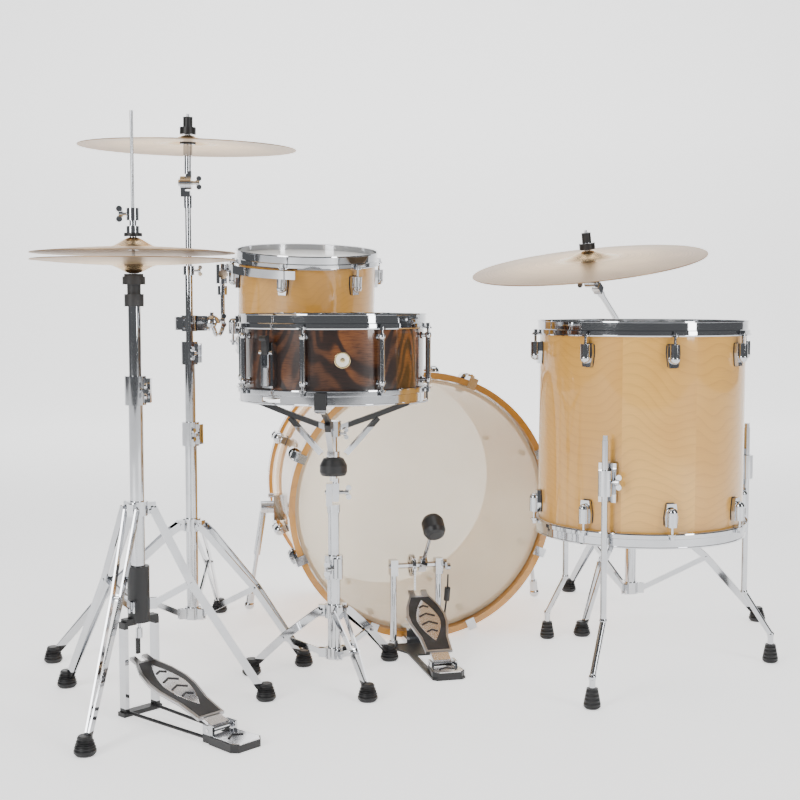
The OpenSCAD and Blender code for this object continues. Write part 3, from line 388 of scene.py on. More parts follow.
def veneer_group():
    """Veneer whose grain runs round the drum: growth lines, clouds, fibres and sheet tones."""
    tree, gin, gout = new_group(
        "veneer", [("Vector", VECTOR, None), ("Spacing", FLOAT, 0.012), ("Warp", FLOAT, 0.05),
                   ("Sheets", FLOAT, 5.0)],
        [("Lines", FLOAT), ("Cloud", FLOAT), ("Fibre", FLOAT), ("Sheet", FLOAT)])
    vec = gin.outputs["Vector"]
    parts = tree.nodes.new("ShaderNodeSeparateXYZ")
    tree.links.new(vec, parts.inputs[0])
    x, y, z = parts.outputs
    turn = maths(tree, "ARCTAN2", x, maths(tree, "MULTIPLY", y, -1.0))
    sheet_at = maths(tree, "FLOOR", maths(tree, "MULTIPLY", maths(tree, "ADD", turn, pi),
                                          maths(tree, "DIVIDE", gin.outputs["Sheets"], 2 * pi)))
    white = tree.nodes.new("ShaderNodeTexWhiteNoise")
    white.noise_dimensions = "1D"
    tree.links.new(sheet_at, white.inputs["W"])
    tree.links.new(white.outputs["Value"], gout.inputs["Sheet"])
    offset = tree.nodes.new("ShaderNodeCombineXYZ")
    tree.links.new(maths(tree, "MULTIPLY", white.outputs["Value"], 3.0), offset.inputs[2])
    moved = tree.nodes.new("ShaderNodeVectorMath")
    tree.links.new(vec, moved.inputs[0])
    tree.links.new(offset.outputs[0], moved.inputs[1])
    wide = tree.nodes.new("ShaderNodeMapping")
    wide.inputs["Scale"].default_value = (4.2, 4.2, 2.2)
    tree.links.new(moved.outputs[0], wide.inputs["Vector"])
    warp = noise(tree, wide.outputs[0], 1.0, 2, 0.45)
    height = maths(tree, "ADD", z, maths(tree, "MULTIPLY", maths(tree, "SUBTRACT", warp, 0.5),
                                         maths(tree, "MULTIPLY", gin.outputs["Warp"], 6.0)))
    band = maths(tree, "FRACT", maths(tree, "DIVIDE", height, gin.outputs["Spacing"]))
    saw = maths(tree, "POWER", band, 5.0)
    tree.links.new(saw, gout.inputs["Lines"])
    tree.links.new(remap(tree, noise(tree, moved.outputs[0], 5.0, 3, 0.5), 0.3, 0.7), gout.inputs["Cloud"])
    thin = tree.nodes.new("ShaderNodeMapping")
    thin.inputs["Scale"].default_value = (22, 22, 900)
    tree.links.new(moved.outputs[0], thin.inputs["Vector"])
    tree.links.new(remap(tree, noise(tree, thin.outputs[0], 1.0, 3, 0.6), 0.3, 0.75), gout.inputs["Fibre"])
    return tree


GROUPS = {}


def use_group(tree, name, **values):
    """Places a shared group in a material with its own values."""
    node = tree.nodes.new("ShaderNodeGroup")
    node.node_tree = GROUPS[name]
    for key, value in values.items():
        put(tree, node.inputs[key], value)
    return node.outputs


def chrome(name, zones=(), tint=(0.57, 0.58, 0.60), roughness=0.05, black=(0.012, 0.012, 0.013),
           centre=(0, 0, 0), rotation=(0, 0, 0), ribs=0.0):
    """Polished plate; each zone (low, high, inner, outer) is black rubber or plastic instead."""
    material, tree, shader = new_material(name, IOR=1.5)
    where = mapped(tree, centre, rotation)
    marks = use_group(tree, "marks", Vector=where, Size=1.0)
    shine = maths(tree, "ADD", roughness, maths(tree, "MULTIPLY", marks[0], 0.05))
    tone = mix(tree, "MIX", tint, tuple(0.9 * t for t in tint), marks[0])
    if zones:
        mask = None
        for low, high, inner, outer in zones:
            one = use_group(tree, "band", Vector=where, Low=low, High=high, Inner=inner, Outer=outer)[0]
            mask = one if mask is None else maths(tree, "MAXIMUM", mask, one)
        tone = mix(tree, "MIX", tone, black, mask)
        grit = noise(tree, where, 900, 2)
        shine = maths(tree, "ADD", maths(tree, "MULTIPLY", shine, maths(tree, "SUBTRACT", 1.0, mask)),
                      maths(tree, "MULTIPLY", mask, 0.42))
        put(tree, shader.inputs["Metallic"], maths(tree, "SUBTRACT", 1.0, mask))
        if ribs:
            parts = tree.nodes.new("ShaderNodeSeparateXYZ")
            tree.links.new(where, parts.inputs[0])
            wave = maths(tree, "SINE", maths(tree, "MULTIPLY", parts.outputs[2], 2 * pi / ribs))
            wave = maths(tree, "ADD", wave, maths(tree, "MULTIPLY", grit, 0.1))
            rise = maths(tree, "MULTIPLY", wave, mask)
            bumped(tree, shader, rise, 1.0, 0.0016)
        else:
            bumped(tree, shader, maths(tree, "MULTIPLY", grit, mask), 0.12, 0.0006)
    else:
        shader.inputs["Metallic"].default_value = 1.0
    put(tree, shader.inputs["Base Color"], tone)
    put(tree, shader.inputs["Roughness"], shine)
    return material


def rubber(name, colour=(0.018, 0.018, 0.019), roughness=0.5, grain=700):
    """Moulded black rubber or plastic with a fine grain."""
    material, tree, shader = new_material(name, IOR=1.5)
    where = mapped(tree)
    dust = remap(tree, noise(tree, where, 30, 4), 0.45, 0.75)
    dusty = tuple(c * 2.2 + 0.012 for c in colour)
    put(tree, shader.inputs["Base Color"], mix(tree, "MIX", colour, dusty, dust))
    put(tree, shader.inputs["Roughness"],
        maths(tree, "ADD", roughness, maths(tree, "MULTIPLY", dust, 0.12)))
    bumped(tree, shader, noise(tree, where, grain, 2), 0.18, 0.0005)
    return material


def veneer(name, light, dark, line, centre, rotation=(0, 0, 0), spacing=0.014, warp=0.05, sheets=5.0,
           line_amount=0.24, coat=1.0, sheet_amount=0.6):
    """Clear-coated veneer shell."""
    material, tree, shader = new_material(name, Coat_Roughness=0.03, Coat_IOR=1.5, IOR=1.45,
                                          Coat_Weight=coat)
    where = mapped(tree, centre, rotation)
    g = use_group(tree, "veneer", Vector=where, Spacing=spacing, Warp=warp, Sheets=sheets)
    tone = mix(tree, "MIX", light, dark, maths(tree, "MULTIPLY", g["Cloud"], 0.6))
    tone = mix(tree, "MIX", tone, dark, maths(tree, "MULTIPLY", g["Sheet"], sheet_amount))
    tone = mix(tree, "MIX", tone, line, maths(tree, "MULTIPLY", g["Lines"], line_amount))
    tone = mix(tree, "MIX", tone, line, maths(tree, "MULTIPLY", g["Fibre"], 0.16))
    put(tree, shader.inputs["Base Color"], tone)
    put(tree, shader.inputs["Roughness"],
        maths(tree, "ADD", 0.32, maths(tree, "MULTIPLY", g["Fibre"], 0.12)))
    return material


def walnut(name, centre):
    """Dark walnut with burnt-orange figure under a clear coat."""
    material, tree, shader = new_material(name, Coat_Weight=1.0, Coat_Roughness=0.04, IOR=1.45)
    where = mapped(tree, centre, (0, 0, 0), (1, 1, 0.55))
    warp = noise(tree, where, 7.0, 2, 0.5, 0.6)
    wave = maths(tree, "SINE", maths(tree, "MULTIPLY", warp, 78.0))
    figure = remap(tree, wave, -0.6, 1.0)
    broad = remap(tree, noise(tree, where, 6.0, 2, 0.5), 0.42, 0.66)
    streak = noise(tree, mapped(tree, centre, (0, 0, 0), (60, 60, 600)), 1.0, 3, 0.6)
    tone = mix(tree, "MIX", (0.020, 0.008, 0.005), (0.075, 0.028, 0.012), figure)
    tone = mix(tree, "MIX", tone, (0.32, 0.105, 0.022),
               maths(tree, "MULTIPLY", broad, maths(tree, "MULTIPLY", figure, 0.6)))
    tone = mix(tree, "MULTIPLY", tone, (0.45, 0.40, 0.38), remap(tree, streak, 0.42, 0.7))
    put(tree, shader.inputs["Base Color"], tone)
    put(tree, shader.inputs["Roughness"], maths(tree, "ADD", 0.25, maths(tree, "MULTIPLY", streak, 0.1)))
    return material


def bronze(name, centre, rotation, radius, bell, pale=(0.86, 0.62, 0.36), deep=(0.27, 0.16, 0.08)):
    """Lathed bronze: fine concentric grooves, darker toward the edge, a polished bell."""
    material, tree, shader = new_material(name, Metallic=1.0, Anisotropic=0.0)
    where = mapped(tree, centre, rotation)
    parts = tree.nodes.new("ShaderNodeSeparateXYZ")
    tree.links.new(where, parts.inputs[0])
    x, y = parts.outputs[:2]
    r = radius_from(tree, x, y)
    line = tree.nodes.new("ShaderNodeCombineXYZ")
    put(tree, line.inputs[0], r)
    coarse = noise(tree, line.outputs[0], 260, 4, 0.7)
    fine = noise(tree, line.outputs[0], 1500, 2, 0.6)
    patch = noise(tree, where, 9, 3)
    edge = remap(tree, r, radius * 0.35, radius)
    tone = mix(tree, "MIX", pale, deep, maths(tree, "MULTIPLY", edge, 0.75))
    tone = mix(tree, "MULTIPLY", tone, (0.66, 0.62, 0.56), remap(tree, coarse, 0.35, 0.75))
    tone = mix(tree, "MULTIPLY", tone, (0.86, 0.84, 0.80), remap(tree, patch, 0.4, 0.7))
    put(tree, shader.inputs["Base Color"], tone)
    put(tree, shader.inputs["Roughness"],
        maths(tree, "ADD", 0.26, maths(tree, "MULTIPLY", remap(tree, r, bell, bell * 1.4), 0.08)))
    bumped(tree, shader, maths(tree, "ADD", coarse, maths(tree, "MULTIPLY", fine, 0.5)), 0.5, 0.0005)
    return material


def film(name, colour, alpha, roughness=0.35, centre=(0, 0, 0), rotation=(0, 0, 0), painted_backlight=0.0):
    """Coated plastic film that lets some of what is behind it show; its glow value paints back-light onto
    the far (+z) head as emission, though no lamp is there.
    """
    material, tree, shader = new_material(name, IOR=1.5, Coat_Weight=0.4, Coat_Roughness=0.12)
    where = mapped(tree, centre, rotation)
    cloud = remap(tree, noise(tree, where, 6, 3), 0.35, 0.7)
    # painted back-light: the far head glows by emission, standing in for light shining through it
    if painted_backlight:
        parts = tree.nodes.new("ShaderNodeSeparateXYZ")
        tree.links.new(where, parts.inputs[0])
        far = maths(tree, "GREATER_THAN", parts.outputs[2], 0.0)
        lit = (painted_backlight, 0.97 * painted_backlight, 0.9 * painted_backlight)
        put(tree, shader.inputs["Emission Color"], mix(tree, "MIX", (0, 0, 0), lit, far))
        shader.inputs["Emission Strength"].default_value = 1.0
    put(tree, shader.inputs["Base Color"], mix(tree, "MIX", colour, tuple(c * 0.93 for c in colour), cloud))
    put(tree, shader.inputs["Roughness"],
        maths(tree, "ADD", roughness, maths(tree, "MULTIPLY", cloud, 0.08)))
    shader.inputs["Alpha"].default_value = alpha
    bumped(tree, shader, noise(tree, where, 1200, 2), 0.06, 0.0004)
    return material


def dress(node, *materials):
    """Gives a frame node its finish."""
    data = NODES[node].data
    data.materials.clear()
    for m in materials:
        data.materials.append(m)


# ---------------------------------------------------------------- settings
class KitFinishes(bpy.types.PropertyGroup):
    """Colours a maker would change."""

    maple: bpy.props.FloatVectorProperty(
        name="Maple", description="Light tone of the maple shells", subtype="COLOR",
        default=(0.80, 0.45, 0.10), min=0, max=1)
    maple_dark: bpy.props.FloatVectorProperty(
        name="Maple shade", description="Dark tone of the maple shells", subtype="COLOR",
        default=(0.58, 0.265, 0.035), min=0, max=1)
    hoop: bpy.props.FloatVectorProperty(
        name="Bass hoops", description="Tone of the wooden bass drum hoops", subtype="COLOR",
        default=(0.62, 0.28, 0.04), min=0, max=1)
    head: bpy.props.FloatVectorProperty(
        name="Batter head", description="Tint of the bass drum's coated head", subtype="COLOR",
        default=(0.95, 0.86, 0.64), min=0, max=1)


class KitSizes(bpy.types.PropertyGroup):
    """Sizes a maker would change."""

    cymbal_thickness: bpy.props.FloatProperty(
        name="Cymbal thickness", description="Thickness of the bronze sheet", default=0.0016,
        min=0.0008, max=0.003, unit="LENGTH")
    groove_rings: bpy.props.IntProperty(
        name="Cymbal rings", description="Rings of points from the hole to the rim", default=56,
        min=20, max=120)


# ---------------------------------------------------------------- operators
class DRUM_OT_finishes(bpy.types.Operator):
    """Builds the shared shader groups and dresses every frame node"""

    bl_idname = "drumkit.finishes"
    bl_label = "Finishes"

    def execute(self, context):
        s = context.scene.drum_finishes
        GROUPS.update(marks=smudge_group(), band=band_group(), veneer=veneer_group())
        plain = chrome("chrome_plate")
        for name in NODES:
            dress(name, plain)
        light, dark = tuple(s.maple), tuple(s.maple_dark)
        line = (0.42, 0.19, 0.04)
        dress("floor_tom_shell", veneer("maple_floor_tom", light, dark, line, FLOOR_TOM, spacing=0.019,
                                        sheets=9.0, line_amount=0.3))
        dress("tom_shell", veneer("maple_rack_tom", light, dark, line, RACK_TOM,
                                  (RACK_TILT[0], RACK_TILT[1], 0), spacing=0.016, sheets=7.0))
        bass_turn = (-pi / 2, 0, BASS_YAW)
        dress("bass_shell", veneer("maple_bass", light, dark, line, BASS, bass_turn, spacing=0.013))
        hoop = tuple(s.hoop)
        dress("bass_hoops", veneer("maple_hoops", hoop, tuple(c * 0.75 for c in hoop), (0.28, 0.12, 0.03),
                                   BASS, bass_turn, spacing=0.004, warp=0.01, line_amount=0.3))
        dress("snare_shell", walnut("walnut_shell", SNARE))
        # the bass heads carry a painted back-light glow on the far head
        dress("bass_heads", film("coated_film", tuple(s.head), 0.40, centre=BASS, rotation=bass_turn,
                                 painted_backlight=1.0))
        clear = film("white_film", (0.86, 0.86, 0.84), 0.9)
        for name in ("tom_heads", "floor_tom_heads", "snare_heads"):
            dress(name, clear)
        black = rubber("moulded_black")
        for name in ("hihat_seat", "pedal_spring", "hihat_chain", "snare_lever"):
            dress(name, black)
        where = placed(BEATER, PEDAL, turned(z_angle=PEDAL_YAW))
        dress("pedal_beater", chrome("beater_metal", [(-0.03, 0.04, 0, 0.04)], centre=where))
        dress("pedal_frame", chrome("pedal_metal", [(-1, 0.0042, 0, 9), (-1, 0.0157, 0.2, 9)],
                                    centre=PEDAL))
        hat = (*HAT_AXIS, 0)
        dress("hihat_base", chrome("hat_stand", [(-1, 0.0145, 0, 9), (0.16, 0.178, 0, 0.05),
                                                 (0.178, 0.271, 0, 0.0205)], centre=hat))
        dress("hihat_pull_rod", chrome("hat_rod", [(0.8465, 0.8568, 0, 0.02), (0.8618, 0.8682, 0, 0.02)],
                                       centre=hat))
        dress("snare_basket", chrome("basket", [(0.405, 0.4425, 0, 0.029), (0.499, 0.556, 0.03, 0.158),
                                                (0.55, 0.6, 0.185, 0.25)], centre=(*STAND[:2], 0)))
        dress("floor_tom_lugs", chrome("floor_tom_plate", [(0.2, 0.8, 0, 0.2046)],
                                       centre=(*FLOOR_TOM[:2], 0)))
        dress("snare_lugs", chrome("snare_plate", [(0.6, 0.95, 0, 0.1792)], centre=(*SNARE[:2], 0)))
        dress("tom_lugs", chrome("rack_tom_plate", [(-0.2, 0.2, 0, 0.1545)], centre=RACK_TOM,
                                 rotation=(*RACK_TILT, 0)))
        dress("bass_lugs", chrome("bass_plate", [(-0.3, 0.3, 0, 0.2812)], centre=BASS,
                                  rotation=(-pi / 2, 0, BASS_YAW)))
        felt = [(0.0805, 0.0903, 0, 0.02), (0.101, 0.116, 0, 0.02), (0.1165, 0.138, 0, 0.0102)]
        dress("crash_tilter", chrome("crash_top", felt, centre=CRASH_PIVOT,
                                     rotation=(radians(1.7), radians(1.1), 0)))
        felt = [(0.051, 0.0598, 0, 0.02), (0.070, 0.0838, 0, 0.02), (0.0845, 0.106, 0, 0.0102)]
        dress("ride_tilter", chrome("ride_top", felt, centre=RIDE_PIVOT,
                                    rotation=(radians(8.8), radians(-7), 0)))
        foot = (-1, 0.0335, 0, 9)
        for name in ("hihat_legs", "crash_legs", "ride_legs", "snare_stand_legs"):
            dress(name, chrome("stand_" + name, [foot], ribs=FOOT_RIB))
        leg = (-1, 0.0385, 0, 9)
        for name in ("floor_tom_leg_front", "floor_tom_leg_right", "floor_tom_leg_rear"):
            dress(name, chrome("leg_" + name, [leg], ribs=FOOT_RIB))
        return {"FINISHED"}


def cymbal_height(r, radius, height, bell_h, bell_r):
    """Bow (height - bell) (1 - (r/R)^1.8) plus a cosine bell."""
    bow = (height - bell_h) * (1 - (r / radius) ** 1.8)
    return bow + np.where(r < bell_r, bell_h * (np.cos(pi * r / bell_r) + 1) / 2, 0)


def cymbal(name, body, node, centre, turn, radius, height, bell_h, bell_r, hole, sizes, material, flip=1):
    """One cymbal: upper and lower skins t apart, joined at the hole and round the rim."""
    t = sizes.cymbal_thickness
    r = np.concatenate([np.linspace(hole, bell_r, 18)[:-1],
                        np.linspace(bell_r, radius - 0.0006, sizes.groove_rings)])
    z = cymbal_height(r, radius, height, bell_h, bell_r)
    top = np.stack([r, z + t / 2], -1)
    rim = np.array([[radius - 0.0001, z[-1] + t * 0.3], [radius, z[-1]],
                    [radius - 0.0001, z[-1] - t * 0.3]])
    low = np.stack([r, z - t / 2], -1)[::-1]
    profile = np.vstack([top, rim, low]) * [1, flip]
    p = revolved(profile, RIM_STEPS, centre, turn)
    if flip > 0:
        p = p[::-1]
    skin = Skin().grid(p, wrap_rows=True, wrap_cols=True)
    return piece(name, skin, body, [material], [node])


class DRUM_OT_cymbals(bpy.types.Operator):
    """Builds the four cymbals as lathed bronze sheets"""

    bl_idname = "drumkit.cymbals"
    bl_label = "Cymbals"

    def execute(self, context):
        sizes = context.scene.drum_sizes
        x, y = HAT_AXIS
        flat = np.eye(3)
        hat = bronze("hat_bronze", (x, y, 0), (0, 0, 0), 0.18, 0.046)
        cymbal("hat_top", "hihat_rod", "hihat_top_cymbal", (x, y, 0.833), flat, 0.18, 0.0275, 0.017,
               0.046, 0.007, sizes, hat)
        cymbal("hat_bottom", "hihat_post", "hihat_bottom_cymbal", (x, y, 0.821), flat, 0.18, 0.0245,
               0.015, 0.046, 0.007, sizes, hat, -1)
        for label, angles, base, size in (
                ("crash", (1.7, 1.1), CRASH_PIVOT, (0.073, 0.229, 0.026, 0.016, 0.055)),
                ("ride", (8.8, -7.0), RIDE_PIVOT, (0.037, 0.254, 0.030, 0.017, 0.062))):
            turn = turned(radians(angles[0]), radians(angles[1]))
            centre = base + turn @ np.array([0, 0, size[0]])
            finish = bronze(label + "_bronze", centre, (radians(angles[0]), radians(angles[1]), 0),
                            size[1], size[4])
            cymbal(label + "_sheet", label + "_plate", label + "_cymbal", centre, turn, size[1], size[2],
                   size[3], size[4], 0.0058, sizes, finish)
        return {"FINISHED"}


def board(width, span, low, high, bevel, rows=40):
    """Plate lofted along y: section (-w, low) up to (-w + b, high) across to (w - b, high) and down."""
    y = np.linspace(span[0], span[1], rows)
    w = np.maximum(width(y), 1e-4)
    b = np.minimum(bevel, w * 0.8)
    x = np.stack([-w, -w, -w + b * 0.3, -w + b, w - b, w - b * 0.3, w, w], -1)
    z = np.array([low, high - bevel, high - bevel * 0.3, high, high, high - bevel * 0.3, high - bevel, low])
    return np.stack([x, np.repeat(y[:, None], 8, 1), np.repeat(z[None], rows, 0)], -1)


def chevron(y, reach, arm, low, high):
    """V-shaped rib pointing up the board."""
    path = np.array([[-reach, y - arm, high], [0, y, high], [reach, y - arm, high]])
    return swept(smooth_path(path, 1), rounded_bar(0.0042, 2 * (high - low), 0.0008, 2))


class DRUM_OT_pedals(bpy.types.Operator):
    """Builds both footboards with their inlays, plates and ribs, and the heel plates"""

    bl_idname = "drumkit.pedals"
    bl_label = "Pedals"

    def execute(self, context):
        rim, _, _ = new_material("board_rim", Metallic=1.0, Base_Color=(0.46, 0.45, 0.45), Roughness=0.28)
        pad = rubber("board_pad", (0.014, 0.014, 0.016), 0.42, 500)
        silver, _, _ = new_material("board_plate", Metallic=1.0, Base_Color=(0.78, 0.78, 0.80),
                                    Roughness=0.16)
        for label, body, node, origin, yaw, length, toe_w, rise, hinge in (
                ("bass", "bass_footboard", "pedal_footboard", PEDAL, PEDAL_YAW, 0.2245, 0.021,
                 atan2(0.117 - 0.019, 0.202), (0, -0.208, 0.019)),
                ("hihat", "hihat_pedal", "hihat_footboard", np.array([*HAT_AXIS, 0]), HAT_YAW + pi / 2,
                 0.2423, 0.020, atan2(0.095 - 0.022, 0.231), (0, -0.225, 0.022))):
            l = length - 0.004
            knots = np.array([0, 0.12, 0.3, 0.5, 0.62, 0.76, 0.92, 1.0]) * l + 0.004
            waist = np.array([0.029, 0.0284, 0.0304, 0.0415, 0.0425, 0.036, toe_w, toe_w * 0.92])

            def width(y, inset=0.0):
                return np.interp(y, knots, waist) - inset

            turn = turned(z_angle=yaw) @ turned(x_angle=rise)
            at = origin + turned(z_angle=yaw) @ np.array(hinge)
            skin = Skin()
            rise_y = 0.004
            capped(skin, placed(board(width, (rise_y + 0.021, l + rise_y - 0.02), 0.004, 0.010, 0.0012),
                                at, turn), 0)
            for side in (-1, 1):
                strip = board(lambda y: 0 * y + 0.5 * (toe_w - 0.0075), (l - 0.018, l + 0.0035),
                              0.004, 0.010, 0.0008, 6)
                strip[..., 0] += side * 0.5 * (toe_w + 0.0065)
                capped(skin, placed(strip, at, turn), 0)
            inlay = board(lambda y: width(y, 0.005), (0.030, l - 0.022), 0.0095, 0.0106, 0.0005)
            capped(skin, placed(inlay, at, turn), 1)
            middle_y, reach = 0.55 * l, 0.30 * l

            def almond(y):
                return 0.025 * np.maximum(1 - np.abs((y - middle_y) / reach) ** 1.7, 0.0)

            shield = board(almond, (middle_y - reach, middle_y + reach), 0.010, 0.0116, 0.0006, 48)
            capped(skin, placed(shield, at, turn), 2)
            for k in range(4):
                y = middle_y + (k - 1.2) * 0.026
                w = float(almond(np.array(y - 0.006))) * 0.72
                capped(skin, placed(chevron(y, w, w * 0.55, 0.0108, 0.0119), at, turn), 1)
            barrel = revolved([[0.0058, -0.019], [0.006, -0.0185], [0.006, 0.0185], [0.0058, 0.019]], 20,
                              turn=turned(y_angle=pi / 2))
            capped(skin, placed(barrel, at, turn), 2)
            pin = revolved([[0.003, -0.028], [0.003, 0.028]], 12, turn=turned(y_angle=pi / 2))
            capped(skin, placed(pin, at, turn), 2)
            neck = board(lambda y: 0 * y + 0.0188, (0.0, 0.027), 0.002, 0.0082, 0.001, 4)
            capped(skin, placed(neck, at, turn), 2)
            piece(label + "_footboard_plate", skin, body, [rim, pad, silver], [node],
                  smooth=False)
            # heel plate on the fixed block
            skin = Skin()
            heel = -0.304 if label == "hihat" else -0.269
            front = -0.2325 if label == "hihat" else -0.2265
            top = 0.0142 if label == "hihat" else 0.0157
            ends = np.array([heel, heel + 0.012, front])
            halves = np.array([0.021, 0.030, 0.028])
            plate = board(lambda y: np.interp(y, ends, halves), (heel + 0.001, front), top - 0.001,
                          top + 0.0012, 0.0006, 14)
            capped(skin, placed(plate, origin, turned(z_angle=yaw)), 0)
            rib = chevron((heel + front) / 2 + 0.012, 0.016, 0.012, top + 0.0008, top + 0.0018)
            capped(skin, placed(rib, origin, turned(z_angle=yaw)), 1)
            piece(label + "_heel_plate", skin, "root", [silver, pad], smooth=False)
        return {"FINISHED"}


class DRUM_OT_arm(bpy.types.Operator):
    """Builds the bent rod that carries the rack tom"""

    bl_idname = "drumkit.arm"
    bl_label = "Tom arm"

    def execute(self, context):
        ball = pivot("rack_arm_swing")
        rod = RACK_ROD
        path = np.array([ball, ball + [0.0045, 0.0075, -0.0165], ball + [0.006, 0.016, -0.0245],
                         [rod[0] - 0.0085, rod[1] - 0.028, 0.673], [rod[0] - 0.005, rod[1] - 0.011, 0.6755],
                         [rod[0], rod[1], 0.691], [rod[0], rod[1], 0.72], [rod[0], rod[1], 0.83]])
        skin = Skin()
        capped(skin, swept(smooth_path(path, 10), circle(0.0048, 20), up=(1, 0.2, 0)))
        a = np.linspace(-pi / 2, pi / 2, 18)
        knob = revolved(np.stack([0.011 * np.cos(a) + 1e-5, 0.011 * np.sin(a)], -1), 32, ball)
        capped(skin, knob)
        piece("rack_arm_rod", skin, "rack_arm", [bpy.data.materials["chrome_plate"]], ["tom_arm"])
        return {"FINISHED"}


def shell_patch(radius, lift, z0, z1, outline, angle, rows=14):
    """Thin plate on a drum: P(u, v) = ((R + lift) at angle a + x / R, z), x from -w(z) to w(z)."""
    z = np.linspace(z0, z1, rows)
    w = outline((z - z0) / (z1 - z0))
    u = np.linspace(-1, 1, 8)
    x = w[:, None] * u[None]
    a = angle + x / radius
    r = np.full_like(x, radius + lift)
    r[:, 0] = r[:, -1] = radius - 0.0002
    r[0] = r[-1] = radius - 0.0002
    return np.stack([r * np.cos(a), r * np.sin(a), np.repeat(z[:, None], 8, 1)], -1)


def shield_outline(width):
    """Half-width of a shield: nearly straight below, tapering above."""
    return lambda t: width * np.interp(t, [0, 0.04, 0.42, 0.94, 1], [0.40, 0.47, 0.5, 0.37, 0.30])


class DRUM_OT_trim(bpy.types.Operator):
    """Builds gaskets under the lugs, the snare's round badge and the screws inside the bass shell"""

    bl_idname = "drumkit.trim"
    bl_label = "Trim"

    def execute(self, context):
        black = bpy.data.materials["moulded_black"]
        plate = bpy.data.materials["chrome_plate"]
        drums = (
            ("bass", "root", BASS, turned(z_angle=BASS_YAW) @ turned(x_angle=-pi / 2), 0.2794, 8, 22.5,
             [(-0.25 + 0.066, 1), (0.25 - 0.066, -1)], 0.025, 0.043),
            ("rack", "rack_tom", RACK_TOM, turned(*RACK_TILT), 0.152, 6, 15,
             [(0.101 - 0.030, -1), (-0.101 + 0.030, 1)], 0.023, 0.040),
        )
        drums += (
            ("floor", "root", FLOOR_TOM, turned(), 0.2025, 8, -84,
             [(0.1985 - 0.029, -1), (-0.1985 + 0.029, 1)], 0.0245, 0.043),
        )
        for label, body, centre, turn, radius, count, first, ends, w, h in drums:
            skin = Skin()
            for k in range(count):
                angle = radians(first + 360 / count * k)
                for z, side in ends:
                    low = z - side * 0.0016
                    patch = shell_patch(radius, 0.0011, low, low + side * (h + 0.0032),
                                        shield_outline(w + 0.0034), angle)
                    skin.grid(placed(patch if side < 0 else patch[:, ::-1], centre, turn))
            piece(label + "_gaskets", skin, body, [black])
        # badge: r(t), z(t) disc standing on the snare's side
        gold, _, _ = new_material("badge_gold", Metallic=1.0, Base_Color=(0.83, 0.66, 0.36), Roughness=0.25)
        cream, _, _ = new_material("badge_cream", Base_Color=(0.86, 0.82, 0.70), Roughness=0.3)
        skin = Skin()
        angle = radians(-81.5)
        out = turned(z_angle=angle) @ turned(y_angle=pi / 2)
        at = SNARE + turned(z_angle=angle) @ np.array([0.1771, 0, 0.0])
        capped(skin, revolved([[0.0150, 0.0], [0.0150, 0.0012], [0.0142, 0.0018], [0.0128, 0.0018],
                               [0.0122, 0.0013]], 40, at, out), 0)
        capped(skin, revolved([[0.0121, 0.0010], [0.0121, 0.0014], [0.006, 0.0015]], 40, at, out), 1)
        capped(skin, revolved([[0.0045, 0.0012], [0.0045, 0.0019], [0.002, 0.0021]], 24, at, out), 0)
        piece("snare_badge", skin, "snare_drum", [gold, cream], smooth=False)
        # screws on the inside of the bass shell
        skin = Skin()
        turn = turned(z_angle=BASS_YAW) @ turned(x_angle=-pi / 2)
        for k in range(8):
            for s in (-0.25 + 0.077, -0.25 + 0.099, 0.25 - 0.077, 0.25 - 0.099):
                angle = radians(22.5 + 45 * k)
                inward = turned(z_angle=angle) @ turned(y_angle=-pi / 2)
                head = revolved([[0.0085, 0], [0.0085, 0.0012], [0.005, 0.002], [0.005, 0.005],
                                 [0.003, 0.006]], 14,
                                turned(z_angle=angle) @ np.array([0.2716, 0, s]), inward)
                capped(skin, placed(head, BASS, turn))
        piece("bass_screws", skin, "root", [plate])
        return {"FINISHED"}


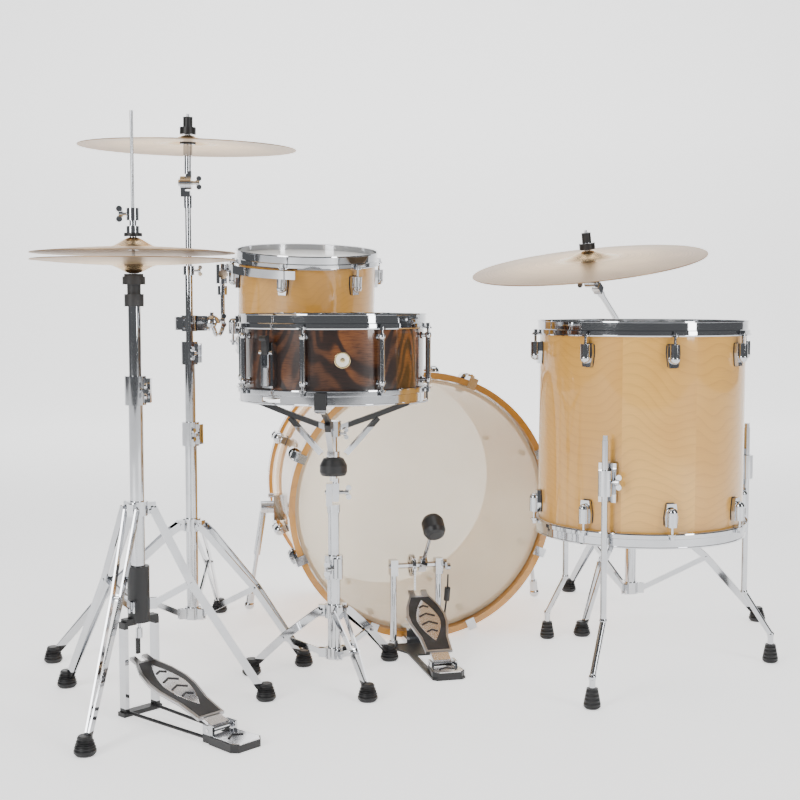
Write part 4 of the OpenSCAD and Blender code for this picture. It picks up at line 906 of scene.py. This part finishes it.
class DRUM_OT_stage(bpy.types.Operator):
    """Pale floor, soft studio lights and the camera"""

    bl_idname = "drumkit.stage"
    bl_label = "Stage"

    def execute(self, context):
        scene = context.scene
        # floor that curves up into a backdrop: z = 0, then a quarter circle, then a wall
        a = np.linspace(0, pi / 2, 24)
        y = np.concatenate([[-7.0, 3.0], 5.0 + 2.0 * np.sin(a), [7.0]])
        z = np.concatenate([[0, 0], 2.0 - 2.0 * np.cos(a), [9.0]])
        x = np.linspace(-9, 9, 5)
        p = np.stack([x[None, :] + 0 * y[:, None], y[:, None] + 0 * x, z[:, None] + 0 * x], -1)
        skin = Skin().grid(p[::-1])
        mesh = bpy.data.meshes.new("studio_floor")
        mesh.from_pydata(np.vstack(skin.points).tolist(), [], np.vstack(skin.faces).tolist())
        mesh.polygons.foreach_set("use_smooth", np.ones(len(mesh.polygons), bool))
        floor = bpy.data.objects.new("studio_floor", mesh)
        scene.collection.objects.link(floor)
        material, tree, shader = new_material("paper", Roughness=0.9)
        where = mapped(tree)
        put(tree, shader.inputs["Base Color"],
            mix(tree, "MIX", (0.97, 0.97, 0.97), (0.955, 0.955, 0.955), noise(tree, where, 2.0, 3)))
        shader.inputs["Emission Color"].default_value = (1, 1, 1, 1)
        shader.inputs["Emission Strength"].default_value = 0.95
        mesh.materials.append(material)

        world = bpy.data.worlds.new("studio")
        world.use_nodes = True
        wt = world.node_tree
        back = wt.nodes["Background"]
        back.inputs[0].default_value = (0.95, 0.97, 1.0, 1)
        back.inputs[1].default_value = 0.16
        scene.world = world

        def lamp(name, place, size, energy, aim):
            data = bpy.data.lights.new(name, "AREA")
            data.shape = "RECTANGLE"
            data.size, data.size_y = size
            data.energy = energy
            obj = bpy.data.objects.new(name, data)
            obj.location = place
            obj.rotation_euler = (Vector(aim) - Vector(place)).to_track_quat("-Z", "Y").to_euler()
            scene.collection.objects.link(obj)

        lamp("key_left", (-2.4, -3.0, 2.0), (1.1, 2.6), 95, (0, 0, 0.5))
        lamp("fill_right", (2.7, -2.6, 1.8), (0.6, 2.6), 60, (0, 0, 0.5))
        lamp("top", (0, 0.3, 3.4), (3.2, 2.2), 70, (0, 0.2, 0.4))
        lamp("wall", (0, 3.4, 3.2), (7.0, 2.0), 160, (0, 7.0, 1.2))

        camera = bpy.data.objects.new("camera", bpy.data.cameras.new("camera"))
        camera.data.lens = 58.95
        camera.data.sensor_width = 36.0
        camera.data.clip_end = 60
        camera.location = (-0.0585, -2.7543, 0.748)
        camera.rotation_euler = (radians(90 - 4.33), 0, 0)
        scene.collection.objects.link(camera)
        scene.camera = camera
        return {"FINISHED"}


class DRUM_PT_panel(bpy.types.Panel):
    bl_idname = "DRUM_PT_panel"
    bl_label = "Drum Kit"
    bl_space_type = "VIEW_3D"
    bl_region_type = "UI"
    bl_category = "Drum Kit"

    def draw(self, context):
        for group in (context.scene.drum_sizes, context.scene.drum_finishes):
            for key in group.__annotations__:
                self.layout.prop(group, key)
        for operator in OPERATORS:
            self.layout.operator(operator.bl_idname)


OPERATORS = (DRUM_OT_finishes, DRUM_OT_cymbals, DRUM_OT_pedals, DRUM_OT_arm, DRUM_OT_trim,
             DRUM_OT_stage)
CLASSES = (KitFinishes, KitSizes) + OPERATORS + (DRUM_PT_panel,)


def register():
    for cls in CLASSES:
        bpy.utils.register_class(cls)
    bpy.types.Scene.drum_finishes = bpy.props.PointerProperty(type=KitFinishes)
    bpy.types.Scene.drum_sizes = bpy.props.PointerProperty(type=KitSizes)


def unregister():
    del bpy.types.Scene.drum_sizes
    del bpy.types.Scene.drum_finishes
    for cls in reversed(CLASSES):
        bpy.utils.unregister_class(cls)


def main():
    register()
    for operator in OPERATORS:
        group, name = operator.bl_idname.split(".")
        getattr(getattr(bpy.ops, group), name)()


if __name__ == "__main__":
    main()
